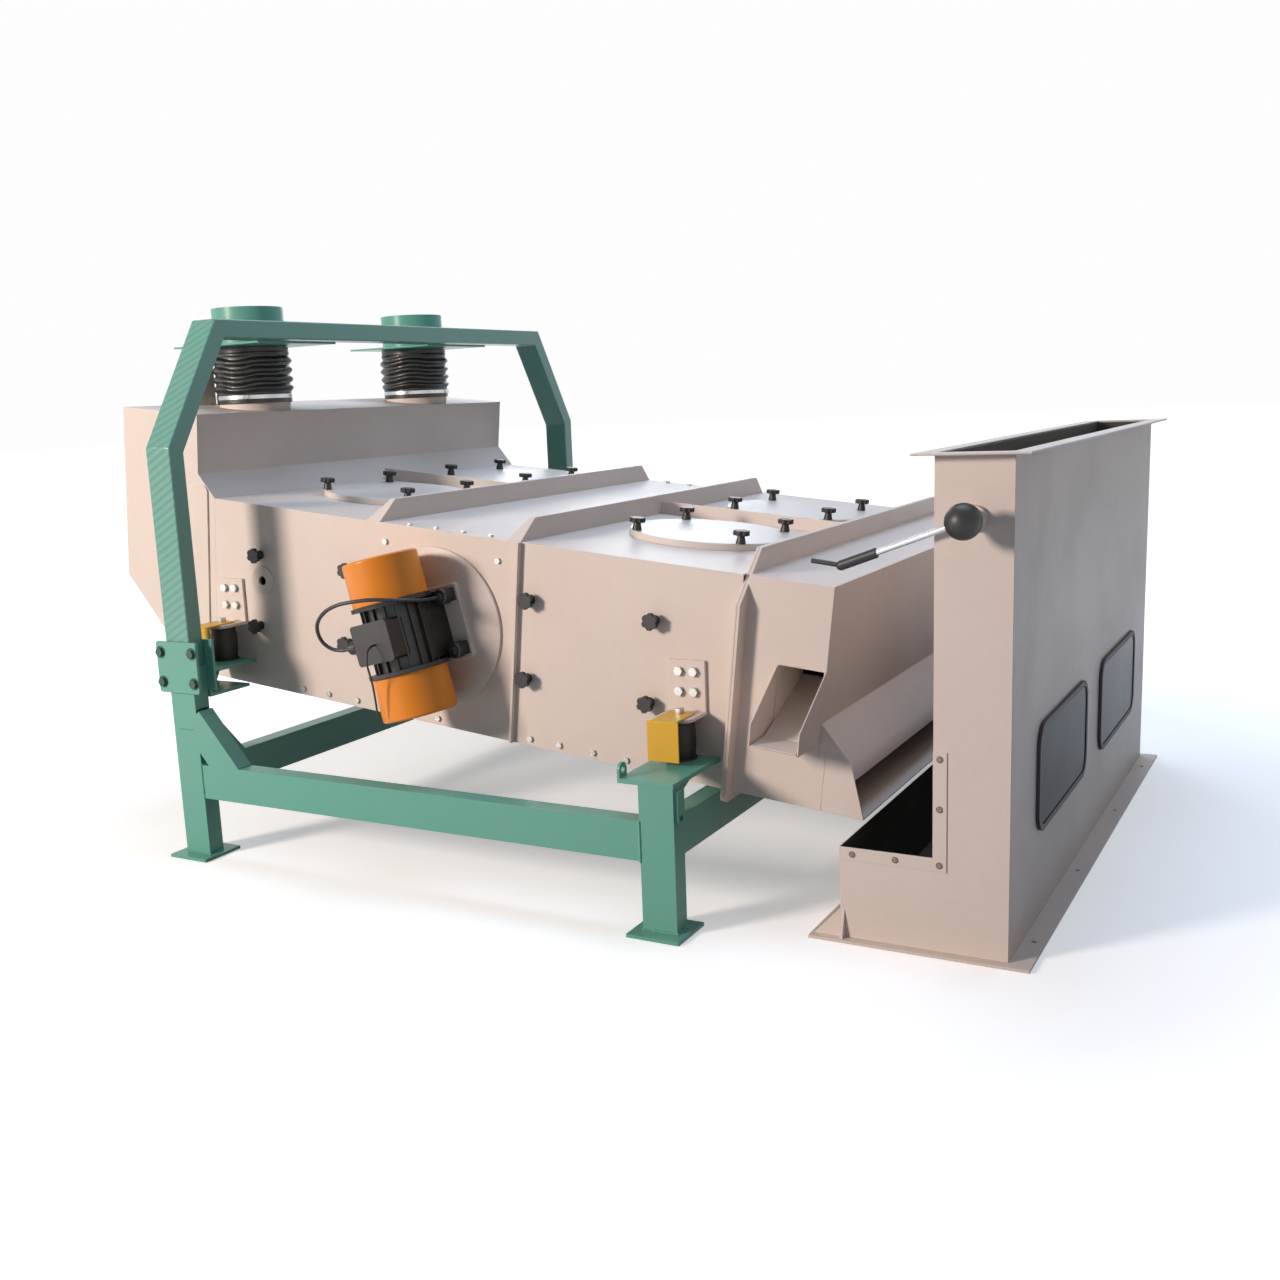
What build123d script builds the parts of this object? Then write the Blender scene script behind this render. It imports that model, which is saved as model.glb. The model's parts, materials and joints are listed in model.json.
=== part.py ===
from build123d import *
from math import atan2, cos, degrees, hypot, radians, sin, sqrt, tan
import os

# Vibrating grain sieve with its upright air channel, in millimetres, +Z up.
# Grain flows along +X, Y = 0 is the middle plane, and Z = 0 is the floor.
# The sieve box hangs on four rubber springs and slopes down towards the air channel.
# Its pieces are drawn level in their own frame (u along the flow, w square to the
# floor of the box) and then tilted as one.

# Clearances
seat_gap = 0.3        # rubber or a loose piece on its seat
run_gap = 0.05        # shaft in its bearing, on the radius
stroke_gap = 4.0      # sleeve round a spout that the sieve shakes beneath
lift_gap = 0.5        # stud in the hole that it is lifted out of, on the radius

# Base frame of rectangular tube
leg_in = 221          # outlet leg axis short of the box's low end, from the inlet leg axis
leg_out = 269         # leg axis outside the side sheet
post_w = 100
post_d = 58
tube_wall = 5
inlet_post_top = 612
outlet_post_top = 400
rail_z = 195
rail_h = 108
brace_w = 95
brace_angle = 50
brace_top = 490
foot_side = 152
foot_t = 10
drain_d = 30
cap_t = 12
cap_overhang = 3
lug_t = 8
lug_w = 40
lug_drop = 105
lug_hole_d = 18

# Inlet portal that carries the feed spouts
portal_drop = 383     # the portal's bend below its top
portal_over = 291     # the portal's top above the inlet box at the box's high end
portal_run = 241
splice_w = 170
splice_h = 162
splice_t = 10
splice_pitch_x = 132
splice_pitch_z = 94
frame_bolt_d = 16

# Feed spouts and their sleeves
spout_back = 262      # spout axis behind the inlet leg axis
spout_in = 415        # spout axis inboard of the side sheet
spout_d = 245
spout_wall = 4
spout_rise = 67       # spout above the portal
spout_dip = 45        # how far the stub reaches down into its sleeve
spout_plate = 390
spout_plate_ahead = 27
spout_plate_t = 6
sleeve_wall = 4
sleeve_folds = 6
sleeve_fold_depth = 9
sleeve_cuff = 26
collar_h = 62
clamp_w = 14
clamp_t = 3
strip_w = 80
strip_t = 8

# Sieve box, in its own frame
tilt = 6.2
sieve_back = 147      # lower inlet corner of the box behind the inlet leg axis
sieve_base_z = 519
half_width = 885
side_h = 594
sheet = 4
body_len = 1871
ridge_h = 64
ridge_run = 50
ridge_crest = 15
ridge_inset = 75
ridge_bay = 505       # from the inlet ridge to the outlet ridge
ridge_back = 8        # middle of that bay behind the box's middle
spine_h = 42
rib_w = 8
rib_out = 18
flange_t = 8
flange_out = 45
flange_drop = 24
flange_radius = 20
flange_frame = 60

# Inlet box
box_len = 410
box_top_w = 858
box_front_u = 73
box_front_rise = 73   # front edge of the inlet box above the side panel
box_knee_w = 291
strip_u0 = 28
strip_u1 = 96
strip_low = 150
strip_high = 632
strip_thick = 6

# Outlet box, its side spout and its discharge slot
outlet_len = 250
hood_w = 235
lip_reach = 338       # lip and toe of the discharge slot ahead of the box's end flange
lip_w = 142
toe_reach = 386
slot_h = 100
side_spout_w = 136
side_spout_back = 1   # its edge short of the outlet box's end
side_spout_top = 370
side_spout_knee = 202
side_spout_low = 147
side_spout_out = 75
side_spout_sheet = 3

# Screens
upper_deck_w = 398
lower_deck_w = 166
deck_h = 36
deck_bar = 40
deck_sheet = 2
deck_clear = 6
deck_ledge = 34
deck_rungs = 6
deck_end_gap = 25

# Access hatches in the top, and the hand knobs that hold them
hatch_share = 2 / 3   # hatch's diameter in the length from the box's high end to its ridge
hatch_in = 165        # the hatch stands midway to a line this far inboard of the side sheet
hatch_neck_h = 14
neck_wall = 3
cover_lap = 25
cover_h = 20
cover_sheet = 3
knob_ring_out = 14.7092   # circle of the hand knobs outside the hatch's edge
knob_d = 48
knob_head = 14
knob_stem_d = 26
knob_stem = 24
knob_stud_d = 10
knob_lobes = 6
inlet_hatch_off = 2.5     # hatch axes ahead of the middles of their bays
outlet_hatch_off = 9.5

# Side knobs that clamp the screens, the ported boss and the sheet bolts
clamp_knob_end = (195, 249)     # side knobs from the box's ends and from its ridges
clamp_knob_ridge = (110, 43)
clamp_knob_w = (202, 434)
boss_u = 207
boss_w = 351
boss_d = 90
boss_bore = 30
boss_t = 6
sheet_bolt_d = 10
foot_screw_w = 21
foot_screw_high = (377, 482, 597)      # from the box's high end, and from its low end
foot_screw_low = (631, 531, 419, 311)
foot_screw_disc = 24                   # the one under the motor disc, ahead of its axis
upper_screws_off = ((24, 56), (-74, 63))   # along from each ridge, and below the top
top_screws = 4
top_screw_end = 10
top_screw_in = 24

# Rubber springs and what they stand between
spring_in = 210       # spring axis inboard of the leg axis
spring_back = 43      # spring axis behind the leg axis
spring_d = 88
spring_h = 110
spring_neck = 5
inlet_spring_z = 591
seat_t = 10
seat_w = 110
seat_reach = 56
seat_front = 65
bracket_rise = 150
bracket_t = 10
bracket_gusset = 8
bracket_bolt_d = 14
bracket_pitch_x = 44
bracket_pitch_z = 56
guard_w = 93
guard_t = 4
guard_ahead = 105
guard_clear = 14
shelf_t = 10
shelf_cheek = 8
shelf_drop = 84
shelf_lip = 46

# Vibration motors
motor_ahead = 210     # motor axis ahead of the inlet ridge
motor_w = 303
motor_lean = 20
motor_axis_out = 165
disc_d = 486
disc_rim = 8
disc_rise = 16
disc_flat_d = 380
spigot_d = 90
mount_w = 290
mount_h = 224
mount_t = 16
motor_body_d = 190
motor_flange_d = 236
motor_flange_t = 12
motor_core_half = 105
motor_cover_d = 222
motor_cover_len = 130
motor_cover_wall = 5
motor_foot_w = 176
fin_count = 16
fin_h = 9
fin_w = 6
shaft_d = 40
rotor_d = 120
rotor_half = 62
rotor_gap = 4
weight_d = 168
weight_t = 46
weight_gap = 14
terminal_w = 132
terminal_h = 118
terminal_out = 34
nut_pitch = 160
nut_offset = 117
nut_d = 48
nut_len = 38
nut_core_d = 20
nut_core_t = 7
motor_foot_t = 14
gland_d = 38
gland_len = 26

# Leads on the near motor
lead_d = 11
thin_lead_d = 6

# Air channel
channel_reach = 445   # its sieve-side wall from the inlet leg axis, past the box's length
channel_depth = 183
channel_out = 135     # its end walls outside the sieve's side sheets
channel_h = 1213
channel_sheet = 4
hopper_len = 236
hopper_h = 247
mouth_top = 512
base_lip_front = 55
base_lip_back = 77
base_lip_side = 25
base_t = 8
gusset_h = 75
gusset_t = 6
rim_out = 45
rim_t = 6
trim_w = 34
trim_t = 3
trim_screw_d = 9

# Windows in the air channel
window_w = 636
window_h = 286
window_radius = 62
window_y = 430
window_z = 384
seal_w = 16
seal_t = 14
seal_grip = 5
pane_t = 5

# Air valve, its lever and lock knob
valve_drop = 143      # shaft below the top of the channel
valve_shaft_d = 24
valve_flap_t = 4
valve_flap_w = 150
valve_side_gap = 3
valve_lean = 30       # flap off upright as stored
valve_boss_d = 60
valve_boss_t = 14
lever_hub_d = 46
lever_hub_t = 22
lever_d = 14
lever_len = 235
lever_angle = 20
grip_d = 25
grip_len = 92
grip_tail = 74
grip_tail_d = 12
ball_d = 84
ball_stud_d = 14

# Heights, places and widths that follow from the sizes above
portal_top = sieve_base_z + box_top_w + portal_over
portal_bend_z = portal_top - portal_drop
spout_top = portal_top + spout_rise
spout_y = half_width - spout_in
box_front_w = side_h + box_front_rise
inlet_ridge_u = body_len / 2 - ridge_back - ridge_bay / 2
outlet_ridge_u = inlet_ridge_u + ridge_bay
top_screw_pitch = (ridge_bay - 2 * top_screw_end) / (top_screws + 1)
hatch_d = hatch_share * inlet_ridge_u
hatch_y = (half_width - hatch_in) / 2
cover_d = hatch_d + 2 * cover_lap
knob_pitch = (hatch_d / 2 + knob_ring_out) * sqrt(2)
inlet_hatch_u = inlet_ridge_u / 2 + inlet_hatch_off
outlet_hatch_u = (outlet_ridge_u + body_len) / 2 + outlet_hatch_off
clamp_knob_u = (clamp_knob_end[0], inlet_ridge_u - clamp_knob_ridge[0],
                outlet_ridge_u + clamp_knob_ridge[1], body_len - clamp_knob_end[1])
motor_u = inlet_ridge_u + motor_ahead
foot_screw_u = [*foot_screw_high, motor_u + foot_screw_disc]
foot_screw_u += [body_len - back for back in foot_screw_low]
upper_screws = [(ridge + off, side_h - down) for ridge, (off, down)
                in zip((inlet_ridge_u, outlet_ridge_u), upper_screws_off)]
outlet_end_u = body_len + outlet_len
lip_u = body_len + lip_reach
toe_u = body_len + toe_reach
side_spout_u1 = outlet_end_u - side_spout_back
side_spout_u0 = side_spout_u1 - side_spout_w
leg_spacing = body_len - leg_in
channel_x = body_len + channel_reach
channel_half = half_width + channel_out
valve_z = channel_h - valve_drop

# Where things stand along X: the overall length is centred on X = 0
rear_reach = sieve_back + box_len * cos(radians(tilt)) - box_knee_w * sin(radians(tilt))
front_reach = channel_x + channel_depth + base_lip_front
inlet_x = (rear_reach - front_reach) / 2
outlet_x = inlet_x + leg_spacing
spout_x = inlet_x - spout_back
channel_x0 = inlet_x + channel_x
channel_x1 = channel_x0 + channel_depth
sieve_x = inlet_x - sieve_back
leg_y = half_width + leg_out
spring_y = leg_y - spring_in
inner_half = half_width - sheet
deck_half = inner_half - deck_clear
cap_top = outlet_post_top + cap_t
in_sieve = Location((sieve_x, 0, sieve_base_z), (0, tilt, 0))

sides = {"near": -1, "far": 1}
spring_x = {"inlet": inlet_x - spring_back, "outlet": outlet_x - spring_back}
spring_z = {"inlet": inlet_spring_z, "outlet": cap_top}


def block(x0, x1, y0, y1, z0, z1):
    """Box between two corners."""
    middle = ((x0 + x1) / 2, (y0 + y1) / 2, (z0 + z1) / 2)
    return Pos(*middle) * Box(abs(x1 - x0), abs(y1 - y0), abs(z1 - z0))


def outline_xz(points, y0, y1):
    """Outline drawn in X and Z, from y0 to y1."""
    face = make_face(Polyline(*points, close=True))
    low, high = sorted((y0, y1))
    plane = Plane(origin=(0, high, 0), x_dir=(1, 0, 0), z_dir=(0, -1, 0))
    return extrude(plane * face, amount=high - low)


def outline_yz(points, x0, x1):
    """Outline drawn in Y and Z, from x0 to x1."""
    face = make_face(Polyline(*points, close=True))
    low, high = sorted((x0, x1))
    plane = Plane(origin=(low, 0, 0), x_dir=(0, 1, 0), z_dir=(1, 0, 0))
    return extrude(plane * face, amount=high - low)


def rod(d, start, end):
    """Round bar from one point to another."""
    line = Edge.make_line(start, end)
    plane = Plane(origin=start, z_dir=line.tangent_at(0))
    return extrude(plane * Circle(d / 2), amount=line.length)


def tube_z(d, wall, z0, z1):
    """Upright round tube about the Z axis."""
    outer = Pos(0, 0, (z0 + z1) / 2) * Cylinder(d / 2, z1 - z0)
    inner = Pos(0, 0, (z0 + z1) / 2) * Cylinder(d / 2 - wall, z1 - z0 + 2)
    return outer - inner


def ring_y(d, y0, y1):
    """Solid disc about the Y axis."""
    return rod(d, (0, y0, 0), (0, y1, 0))


def hexagon(across, length):
    """Hexagon head standing on Z = 0."""
    return extrude(RegularPolygon(across / 2, 6, major_radius=False), amount=length)


def bolt_y(d, length, side):
    """Bolt with its head outside the plane Y = 0 and its shank inside."""
    head = Rot(90 * side * -1, 0, 0) * hexagon(d * 1.7, d * 0.65)
    shank = rod(d, (0, 0, 0), (0, -side * length, 0))
    return head + shank


def mirrored(shape):
    """The same piece on the other side of the middle plane."""
    return shape.mirror(Plane.XZ)


def pair(shape):
    """A near piece and its mirror image, as separate solids."""
    return [shape, mirrored(shape)]


def sheared_strip(centre, angle, half_length, width, low, high, plane):
    """Straight tube in a vertical plane, sloping down away from the leg."""
    run = (cos(radians(angle)), -sin(radians(angle)))
    across = (-run[1], run[0])
    corners = []
    for along, side in ((-1, -1), (1, -1), (1, 1), (-1, 1)):
        a = centre[0] + run[0] * along * half_length + across[0] * side * width / 2
        b = centre[1] + run[1] * along * half_length + across[1] * side * width / 2
        corners.append((a, b))
    return plane(corners, low, high)


# Base frame

def leg_brace(inset):
    """Centre and half length of the diagonal between a leg and what it braces."""
    rail_top = rail_z + rail_h
    drop = brace_w / 2 / cos(radians(brace_angle))
    upper = brace_top - drop
    run = (upper - rail_top) / tan(radians(brace_angle))
    centre = (run / 2, (upper + rail_top) / 2)
    half = hypot(run, upper - rail_top) / 2 + inset
    return centre, half


def frame_tubes(wall):
    """All tubes of the base frame, drawn smaller by the wall to give their insides."""
    centre, half = leg_brace(2 * wall + 38)
    half_d = post_d / 2 - wall
    shapes = []
    for side in (-1, 1):
        y = side * leg_y
        lifted = wall if wall == 0 else -1
        for x, top in ((inlet_x, inlet_post_top - lifted), (outlet_x, outlet_post_top)):
            half_w = post_w / 2 - wall
            shapes.append(block(x - half_w, x + half_w, y - half_d, y + half_d, foot_t, top))
        shapes.append(block(inlet_x, outlet_x, y - half_d, y + half_d,
                            rail_z + wall, rail_z + rail_h - wall))
        along = (inlet_x + post_w / 2 + centre[0], centre[1])
        shapes.append(sheared_strip(along, brace_angle, half, brace_w - 2 * wall,
                                    y - half_d, y + half_d, outline_xz))
    for x in (inlet_x, outlet_x):
        shapes.append(block(x - half_d, x + half_d, -leg_y, leg_y,
                            rail_z + wall, rail_z + rail_h - wall))
    inward = (-leg_y + post_d / 2 + centre[0], centre[1])
    cross = sheared_strip(inward, brace_angle, half, brace_w - 2 * wall,
                          inlet_x - half_d, inlet_x + half_d, outline_yz)
    return shapes + pair(cross)


def post_cap():
    """Shelf on the near outlet post that carries the spring, with its web and lugs."""
    outer = -leg_y - post_d / 2 - cap_overhang
    inner = -spring_y + seat_reach - spring_d / 8
    face = -leg_y + post_d / 2
    x0 = spring_x["outlet"] - seat_front
    x1 = outlet_x + post_w / 2 + cap_overhang
    shelf = block(x0, x1, outer, inner, outlet_post_top, cap_top)
    web = outline_yz([(face, outlet_post_top), (inner - 8, outlet_post_top),
                      (face, rail_z + rail_h + 12)], outlet_x - lug_t / 2, outlet_x + lug_t / 2)
    eye_y = outer + lug_w / 2
    eye_z = cap_top + lug_w / 2
    eye = block(x0, x0 + lug_t, outer, outer + lug_w, cap_top, eye_z)
    eye += rod(lug_w, (x0, eye_y, eye_z), (x0 + lug_t, eye_y, eye_z))
    eye -= rod(lug_hole_d, (x0 - 1, eye_y, eye_z), (x0 + lug_t + 1, eye_y, eye_z))
    bar_x = outlet_x + post_w / 2
    bar_z = outlet_post_top - lug_drop + lug_w / 2
    bar = block(bar_x, bar_x + lug_t, -leg_y - lug_w / 2, -leg_y + lug_w / 2,
                bar_z, outlet_post_top - cap_t)
    bar += rod(lug_w, (bar_x, -leg_y, bar_z), (bar_x + lug_t, -leg_y, bar_z))
    bar -= rod(lug_hole_d, (bar_x - 1, -leg_y, bar_z), (bar_x + lug_t + 1, -leg_y, bar_z))
    return shelf + web + eye + bar


def base_frame():
    frame = Part() + frame_tubes(0)
    for x in (inlet_x, outlet_x):
        for side in (-1, 1):
            foot = block(x - foot_side / 2, x + foot_side / 2, side * leg_y - foot_side / 2,
                         side * leg_y + foot_side / 2, 0, foot_t)
            frame += foot
    frame -= Part() + frame_tubes(tube_wall)
    frame += pair(post_cap())
    for x in (inlet_x, outlet_x):
        for side in (-1, 1):
            frame -= Pos(x, side * leg_y, foot_t / 2) * Cylinder(drain_d / 2, foot_t + 2)
    return frame


# Inlet portal

def portal_line(inset):
    """One side of the portal's band, set in from its outer face, from near foot to far."""
    lean = atan2(portal_run, portal_top - portal_bend_z)
    outer = leg_y + post_d / 2 - inset
    bend = portal_bend_z - inset * tan(lean / 2)
    shoulder = leg_y + post_d / 2 - portal_run - inset * tan((radians(90) - lean) / 2)
    near = [(-outer, inlet_post_top), (-outer, bend), (-shoulder, portal_top - inset)]
    return near + [(-y, z) for y, z in reversed(near)]


def inlet_portal():
    band = portal_line(0) + list(reversed(portal_line(post_d)))
    portal = outline_yz(band, inlet_x - post_w / 2, inlet_x + post_w / 2)
    hollow = portal_line(tube_wall) + list(reversed(portal_line(post_d - tube_wall)))
    portal -= outline_yz(hollow, inlet_x - post_w / 2 + tube_wall,
                         inlet_x + post_w / 2 - tube_wall)
    for side in (-1, 1):
        for bx in (-1, 1):
            portal -= splice_hole(side, bx, 1)
    return portal


def splice_hole(side, bx, bz):
    x = inlet_x + bx * splice_pitch_x / 2
    z = inlet_post_top + bz * splice_pitch_z / 2
    y = side * leg_y
    return rod(frame_bolt_d + 2 * lift_gap, (x, y - post_d, z), (x, y + post_d, z))


def splice_plate(side):
    """Plate bolted over the joint of a base post and a portal column."""
    face = side * (leg_y + post_d / 2)
    plate = block(-splice_w / 2, splice_w / 2, -splice_h / 2, splice_h / 2, 0, splice_t)
    plate = fillet(plate.edges().filter_by(Axis.Z), 9)
    plate = Pos(inlet_x, face, inlet_post_top) * Rot(-90 * side, 0, 0) * plate
    inner = side * (leg_y - post_d / 2)
    strap = block(inlet_x - splice_w / 2, inlet_x + splice_w / 2, inner, inner - side * splice_t,
                  inlet_post_top - splice_h / 2, inlet_post_top + splice_h / 2)
    return [plate, strap]


# Feed spouts, their sleeves and collars

def feed_spout(side):
    """Stub tube through a square plate under the portal's beam."""
    plate_top = portal_top - post_d
    half = spout_plate / 2
    mid = spout_plate_ahead
    plate = block(mid - half, mid + half, -half, half, plate_top - spout_plate_t, plate_top)
    stub_low = plate_top - spout_plate_t - spout_dip
    stub = Pos(0, 0, (stub_low + spout_top) / 2) * Cylinder(spout_d / 2, spout_top - stub_low)
    bore = Pos(0, 0, (stub_low + spout_top) / 2) * Cylinder(spout_d / 2 - spout_wall,
                                                            spout_top - stub_low + 2)
    return Pos(spout_x, side * spout_y, 0) * (plate + stub - bore)


def roof_z(x):
    """Height of the inlet box's roof at an X position."""
    return sieve_base_z + (box_top_w - (x - sieve_x) * sin(radians(tilt))) / cos(radians(tilt))


def collar_top():
    return roof_z(spout_x) + collar_h


def sleeve_low():
    """Lowest edge of a sleeve, clear of the sloping roof round its collar."""
    return roof_z(spout_x - spout_d / 2 - sleeve_wall) + seat_gap + 2


def sleeve(side):
    """Pleated sleeve from the collar on the sieve up round the spout's stub."""
    r_low = spout_d / 2 + seat_gap
    r_top = spout_d / 2 + stroke_gap
    z0 = sleeve_low()
    z1 = portal_top - post_d - spout_plate_t - stroke_gap
    top_cuff = z1 - sleeve_cuff
    low_cuff = z0 + sleeve_cuff + collar_h / 2
    pitch = (top_cuff - low_cuff) / sleeve_folds
    inner = [(r_low, z0), (r_low, low_cuff)]
    for fold in range(sleeve_folds):
        z = low_cuff + fold * pitch
        inner.append((r_top + sleeve_fold_depth, z + pitch / 2))
        inner.append((r_top, z + pitch))
    inner.append((r_top, z1))
    outer = [(r + sleeve_wall, z) for r, z in reversed(inner)]
    face = make_face(Polyline(*inner, *outer, close=True))
    plane = Plane(origin=(0, 0, 0), x_dir=(1, 0, 0), z_dir=(0, -1, 0))
    return Pos(spout_x, side * spout_y, 0) * revolve(plane * face, Axis.Z)


def sleeve_clamp(side):
    """Strap that holds the sleeve on its collar, with its tightening ear."""
    r = spout_d / 2 + seat_gap + sleeve_wall + seat_gap
    z0 = sleeve_low() + (sleeve_cuff - clamp_w) / 2 + 8
    band = tube_z(2 * (r + clamp_t), clamp_t, z0, z0 + clamp_w)
    ear = block(r + clamp_t - 1, r + clamp_t + 12, -9, 9, z0, z0 + clamp_w)
    return Pos(spout_x, side * spout_y, 0) * (band + Rot(0, 0, side * 60) * ear)


def sleeve_stay():
    """Flat bar standing on the inlet box behind the near sleeve."""
    x = spout_x - spout_d / 2 - sleeve_fold_depth - sleeve_wall - 30
    y = -spout_y - spout_d / 4
    top = portal_top - post_d - spout_plate_t - 3 * stroke_gap
    bar = block(x - strip_t, x, y - strip_w / 2, y + strip_w / 2, roof_z(x) - 2 * strip_t, top)
    return bar - in_sieve * inlet_box_outside()


# Sieve box

def inlet_box_outline():
    return [(-box_len, box_knee_w), (-box_len, box_top_w), (-box_front_u, box_top_w),
            (-box_front_u, box_front_w), (0, side_h), (0, 0), (-box_len + box_knee_w, 0)]


def inlet_box_outside():
    return outline_xz(inlet_box_outline(), -half_width, half_width)


def inlet_box():
    """Feed box at the head of the sieve, open to the screens, with two collars on its roof."""
    face = make_face(Polyline(*inlet_box_outline(), close=True))
    inside = offset(face, amount=-sheet, kind=Kind.INTERSECTION)
    plane = Plane(origin=(0, inner_half, 0), x_dir=(1, 0, 0), z_dir=(0, -1, 0))
    hollow = in_sieve * extrude(plane * inside, amount=2 * inner_half)
    hollow += in_sieve * block(-2 * sheet, sheet, -inner_half, inner_half, sheet, side_h - sheet)
    box = in_sieve * inlet_box_outside()
    low = roof_z(spout_x) - 60
    for side in (-1, 1):
        middle = Pos(spout_x, side * spout_y, (low + collar_top()) / 2)
        box += middle * Cylinder(spout_d / 2, collar_top() - low)
    box -= hollow
    for side in (-1, 1):
        middle = Pos(spout_x, side * spout_y, (low + collar_top()) / 2)
        box -= middle * Cylinder(spout_d / 2 - spout_wall, collar_top() - low + 2)
    strip = block(-strip_u1, -strip_u0, -strip_thick, 0, strip_low, strip_high)
    corners = strip.edges().filter_by(Axis.Y).sort_by(Axis.Z)[2:]
    strip = fillet(corners, 24)
    box += [in_sieve * piece for piece in pair(Pos(0, -half_width, 0) * strip)]
    return box + sleeve_stay()


def side_panel(side):
    """Side sheet with its seam rib, screen ledges, motor bore and ported boss hole."""
    y0 = side * inner_half
    y1 = side * half_width
    panel = block(0, body_len, y0, y1, 0, side_h)
    rib_u = outlet_ridge_u - rib_w / 2
    panel += block(rib_u, rib_u + rib_w, y1, y1 + side * rib_out, 0, side_h)
    for deck_w in (upper_deck_w, lower_deck_w):
        panel += block(deck_end_gap, body_len - deck_end_gap, y0, y0 - side * deck_ledge,
                       deck_w - sheet, deck_w)
    for u, w, d in ((motor_u, motor_w, spigot_d + 2 * run_gap), (boss_u, boss_w, boss_bore)):
        panel -= rod(d, (u, y0 - side, w), (u, y1 + side, w))
    boss = rod(boss_d, (boss_u, y1, boss_w), (boss_u, y1 + side * boss_t, boss_w))
    panel += boss - rod(boss_bore, (boss_u, y0, boss_w), (boss_u, y1 + side * 2 * boss_t, boss_w))
    return in_sieve * panel


def panel_screws():
    """Screw heads along the foot of the side sheets and on the top's middle panel."""
    head = Rot(90, 0, 0) * hexagon(sheet_bolt_d * 1.7, sheet_bolt_d * 0.7)
    spots = [(u, foot_screw_w) for u in foot_screw_u] + list(upper_screws)
    screws = [in_sieve * piece for u, w in spots for piece in pair(Pos(u, -half_width, w) * head)]
    cap = hexagon(sheet_bolt_d * 1.7, sheet_bolt_d * 0.7)
    for index in range(top_screws):
        u = inlet_ridge_u + top_screw_pitch * (index + 1)
        near = Pos(u, -half_width + top_screw_in, side_h) * cap
        screws += [in_sieve * piece for piece in pair(near)]
    return screws


def floor_pan():
    return in_sieve * block(0, body_len, -inner_half, inner_half, 0, sheet)


def ridge(u):
    """Folded ridge across the top, upright on its outlet side, with chamfered ends."""
    top = side_h + ridge_h
    wedge = outline_xz([(u - ridge_run, side_h), (u - ridge_crest, top), (u, top), (u, side_h)],
                       -half_width, half_width)
    ends_cut = outline_yz([(-half_width, side_h), (-half_width + ridge_inset, top),
                           (half_width - ridge_inset, top), (half_width, side_h)],
                          u - ridge_run - 1, u + 1)
    return wedge & ends_cut


def knob_spots(hatch_u, side):
    """Places of the four knobs round a hatch."""
    half = knob_pitch / 2
    return [(hatch_u + du * half, side * hatch_y + dy * half) for du in (-1, 1) for dy in (-1, 1)]


def top_panel(u0, u1, hatch_u=None, spine=True):
    """Top sheet of one bay, with its hatch necks and the fin along the middle."""
    under = side_h - sheet
    panel = block(u0, u1, -inner_half, inner_half, under, side_h)
    if spine:
        panel += block(u0, u1, -sheet / 2, sheet / 2, side_h, side_h + spine_h)
    if hatch_u:
        for side in (-1, 1):
            at = Pos(hatch_u, side * hatch_y, 0)
            panel += at * (Pos(0, 0, side_h + hatch_neck_h / 2) * Cylinder(
                hatch_d / 2 + neck_wall, hatch_neck_h))
            panel -= at * (Pos(0, 0, side_h) * Cylinder(hatch_d / 2, 4 * hatch_neck_h))
            for u, y in knob_spots(hatch_u, side):
                panel -= Pos(u, y, side_h) * Cylinder(knob_stud_d / 2 + lift_gap, 4 * sheet)
    return panel


def end_flange(u0, u1):
    """Frame that stands out all round the box where the outlet box is bolted on."""
    out = half_width + flange_out
    top = side_h + ridge_h
    plate = outline_yz([(-out, -flange_drop), (out, -flange_drop), (out, side_h - ridge_inset),
                        (half_width - ridge_inset, top), (-half_width + ridge_inset, top),
                        (-out, side_h - ridge_inset)], u0, u1)
    low_corners = plate.edges().filter_by(Axis.X).group_by(Axis.Z)[0]
    plate = fillet(low_corners, flange_radius)
    inner = inner_half - flange_frame
    return plate - block(u0 - 1, u1 + 1, -inner, inner, sheet, side_h - flange_frame)


def outlet_box_outline():
    u0 = body_len + 2 * flange_t
    return [(u0, 0), (toe_u, 0), (lip_u, lip_w), (outlet_end_u, hood_w), (outlet_end_u, side_h),
            (u0, side_h)]


def outlet_box():
    """Outlet box with its flange, hood, discharge slot and the hole for the side spout."""
    face = make_face(Polyline(*outlet_box_outline(), close=True))
    inside = offset(face, amount=-sheet, kind=Kind.INTERSECTION)
    plane = Plane(origin=(0, inner_half, 0), x_dir=(1, 0, 0), z_dir=(0, -1, 0))
    box = outline_xz(outlet_box_outline(), -half_width, half_width)
    box -= extrude(plane * inside, amount=2 * inner_half)
    u0 = body_len + 2 * flange_t
    box -= block(u0 - 1, u0 + sheet + 1, -inner_half, inner_half, sheet, side_h - sheet)
    box += end_flange(body_len + flange_t, u0)
    box -= block(lip_u - 30, toe_u + 1, -inner_half, inner_half, sheet, slot_h)
    box -= block(side_spout_u0 + side_spout_sheet, side_spout_u1 - side_spout_sheet,
                 -half_width - 1, -inner_half + 1, side_spout_low + side_spout_sheet,
                 side_spout_top)
    return in_sieve * box


def side_spout():
    """Open chute on the near side of the outlet box, for what the upper screen holds back."""
    y0 = -half_width
    y1 = -half_width - side_spout_out
    cheek = [(y0, side_spout_top), (y1, side_spout_knee), (y1, side_spout_low),
             (y0, side_spout_low)]
    spout = outline_yz(cheek, side_spout_u0, side_spout_u0 + side_spout_sheet)
    spout += outline_yz(cheek, side_spout_u1 - side_spout_sheet, side_spout_u1)
    spout += block(side_spout_u0, side_spout_u1, y0, y1, side_spout_low,
                   side_spout_low + side_spout_sheet)
    return in_sieve * spout


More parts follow.
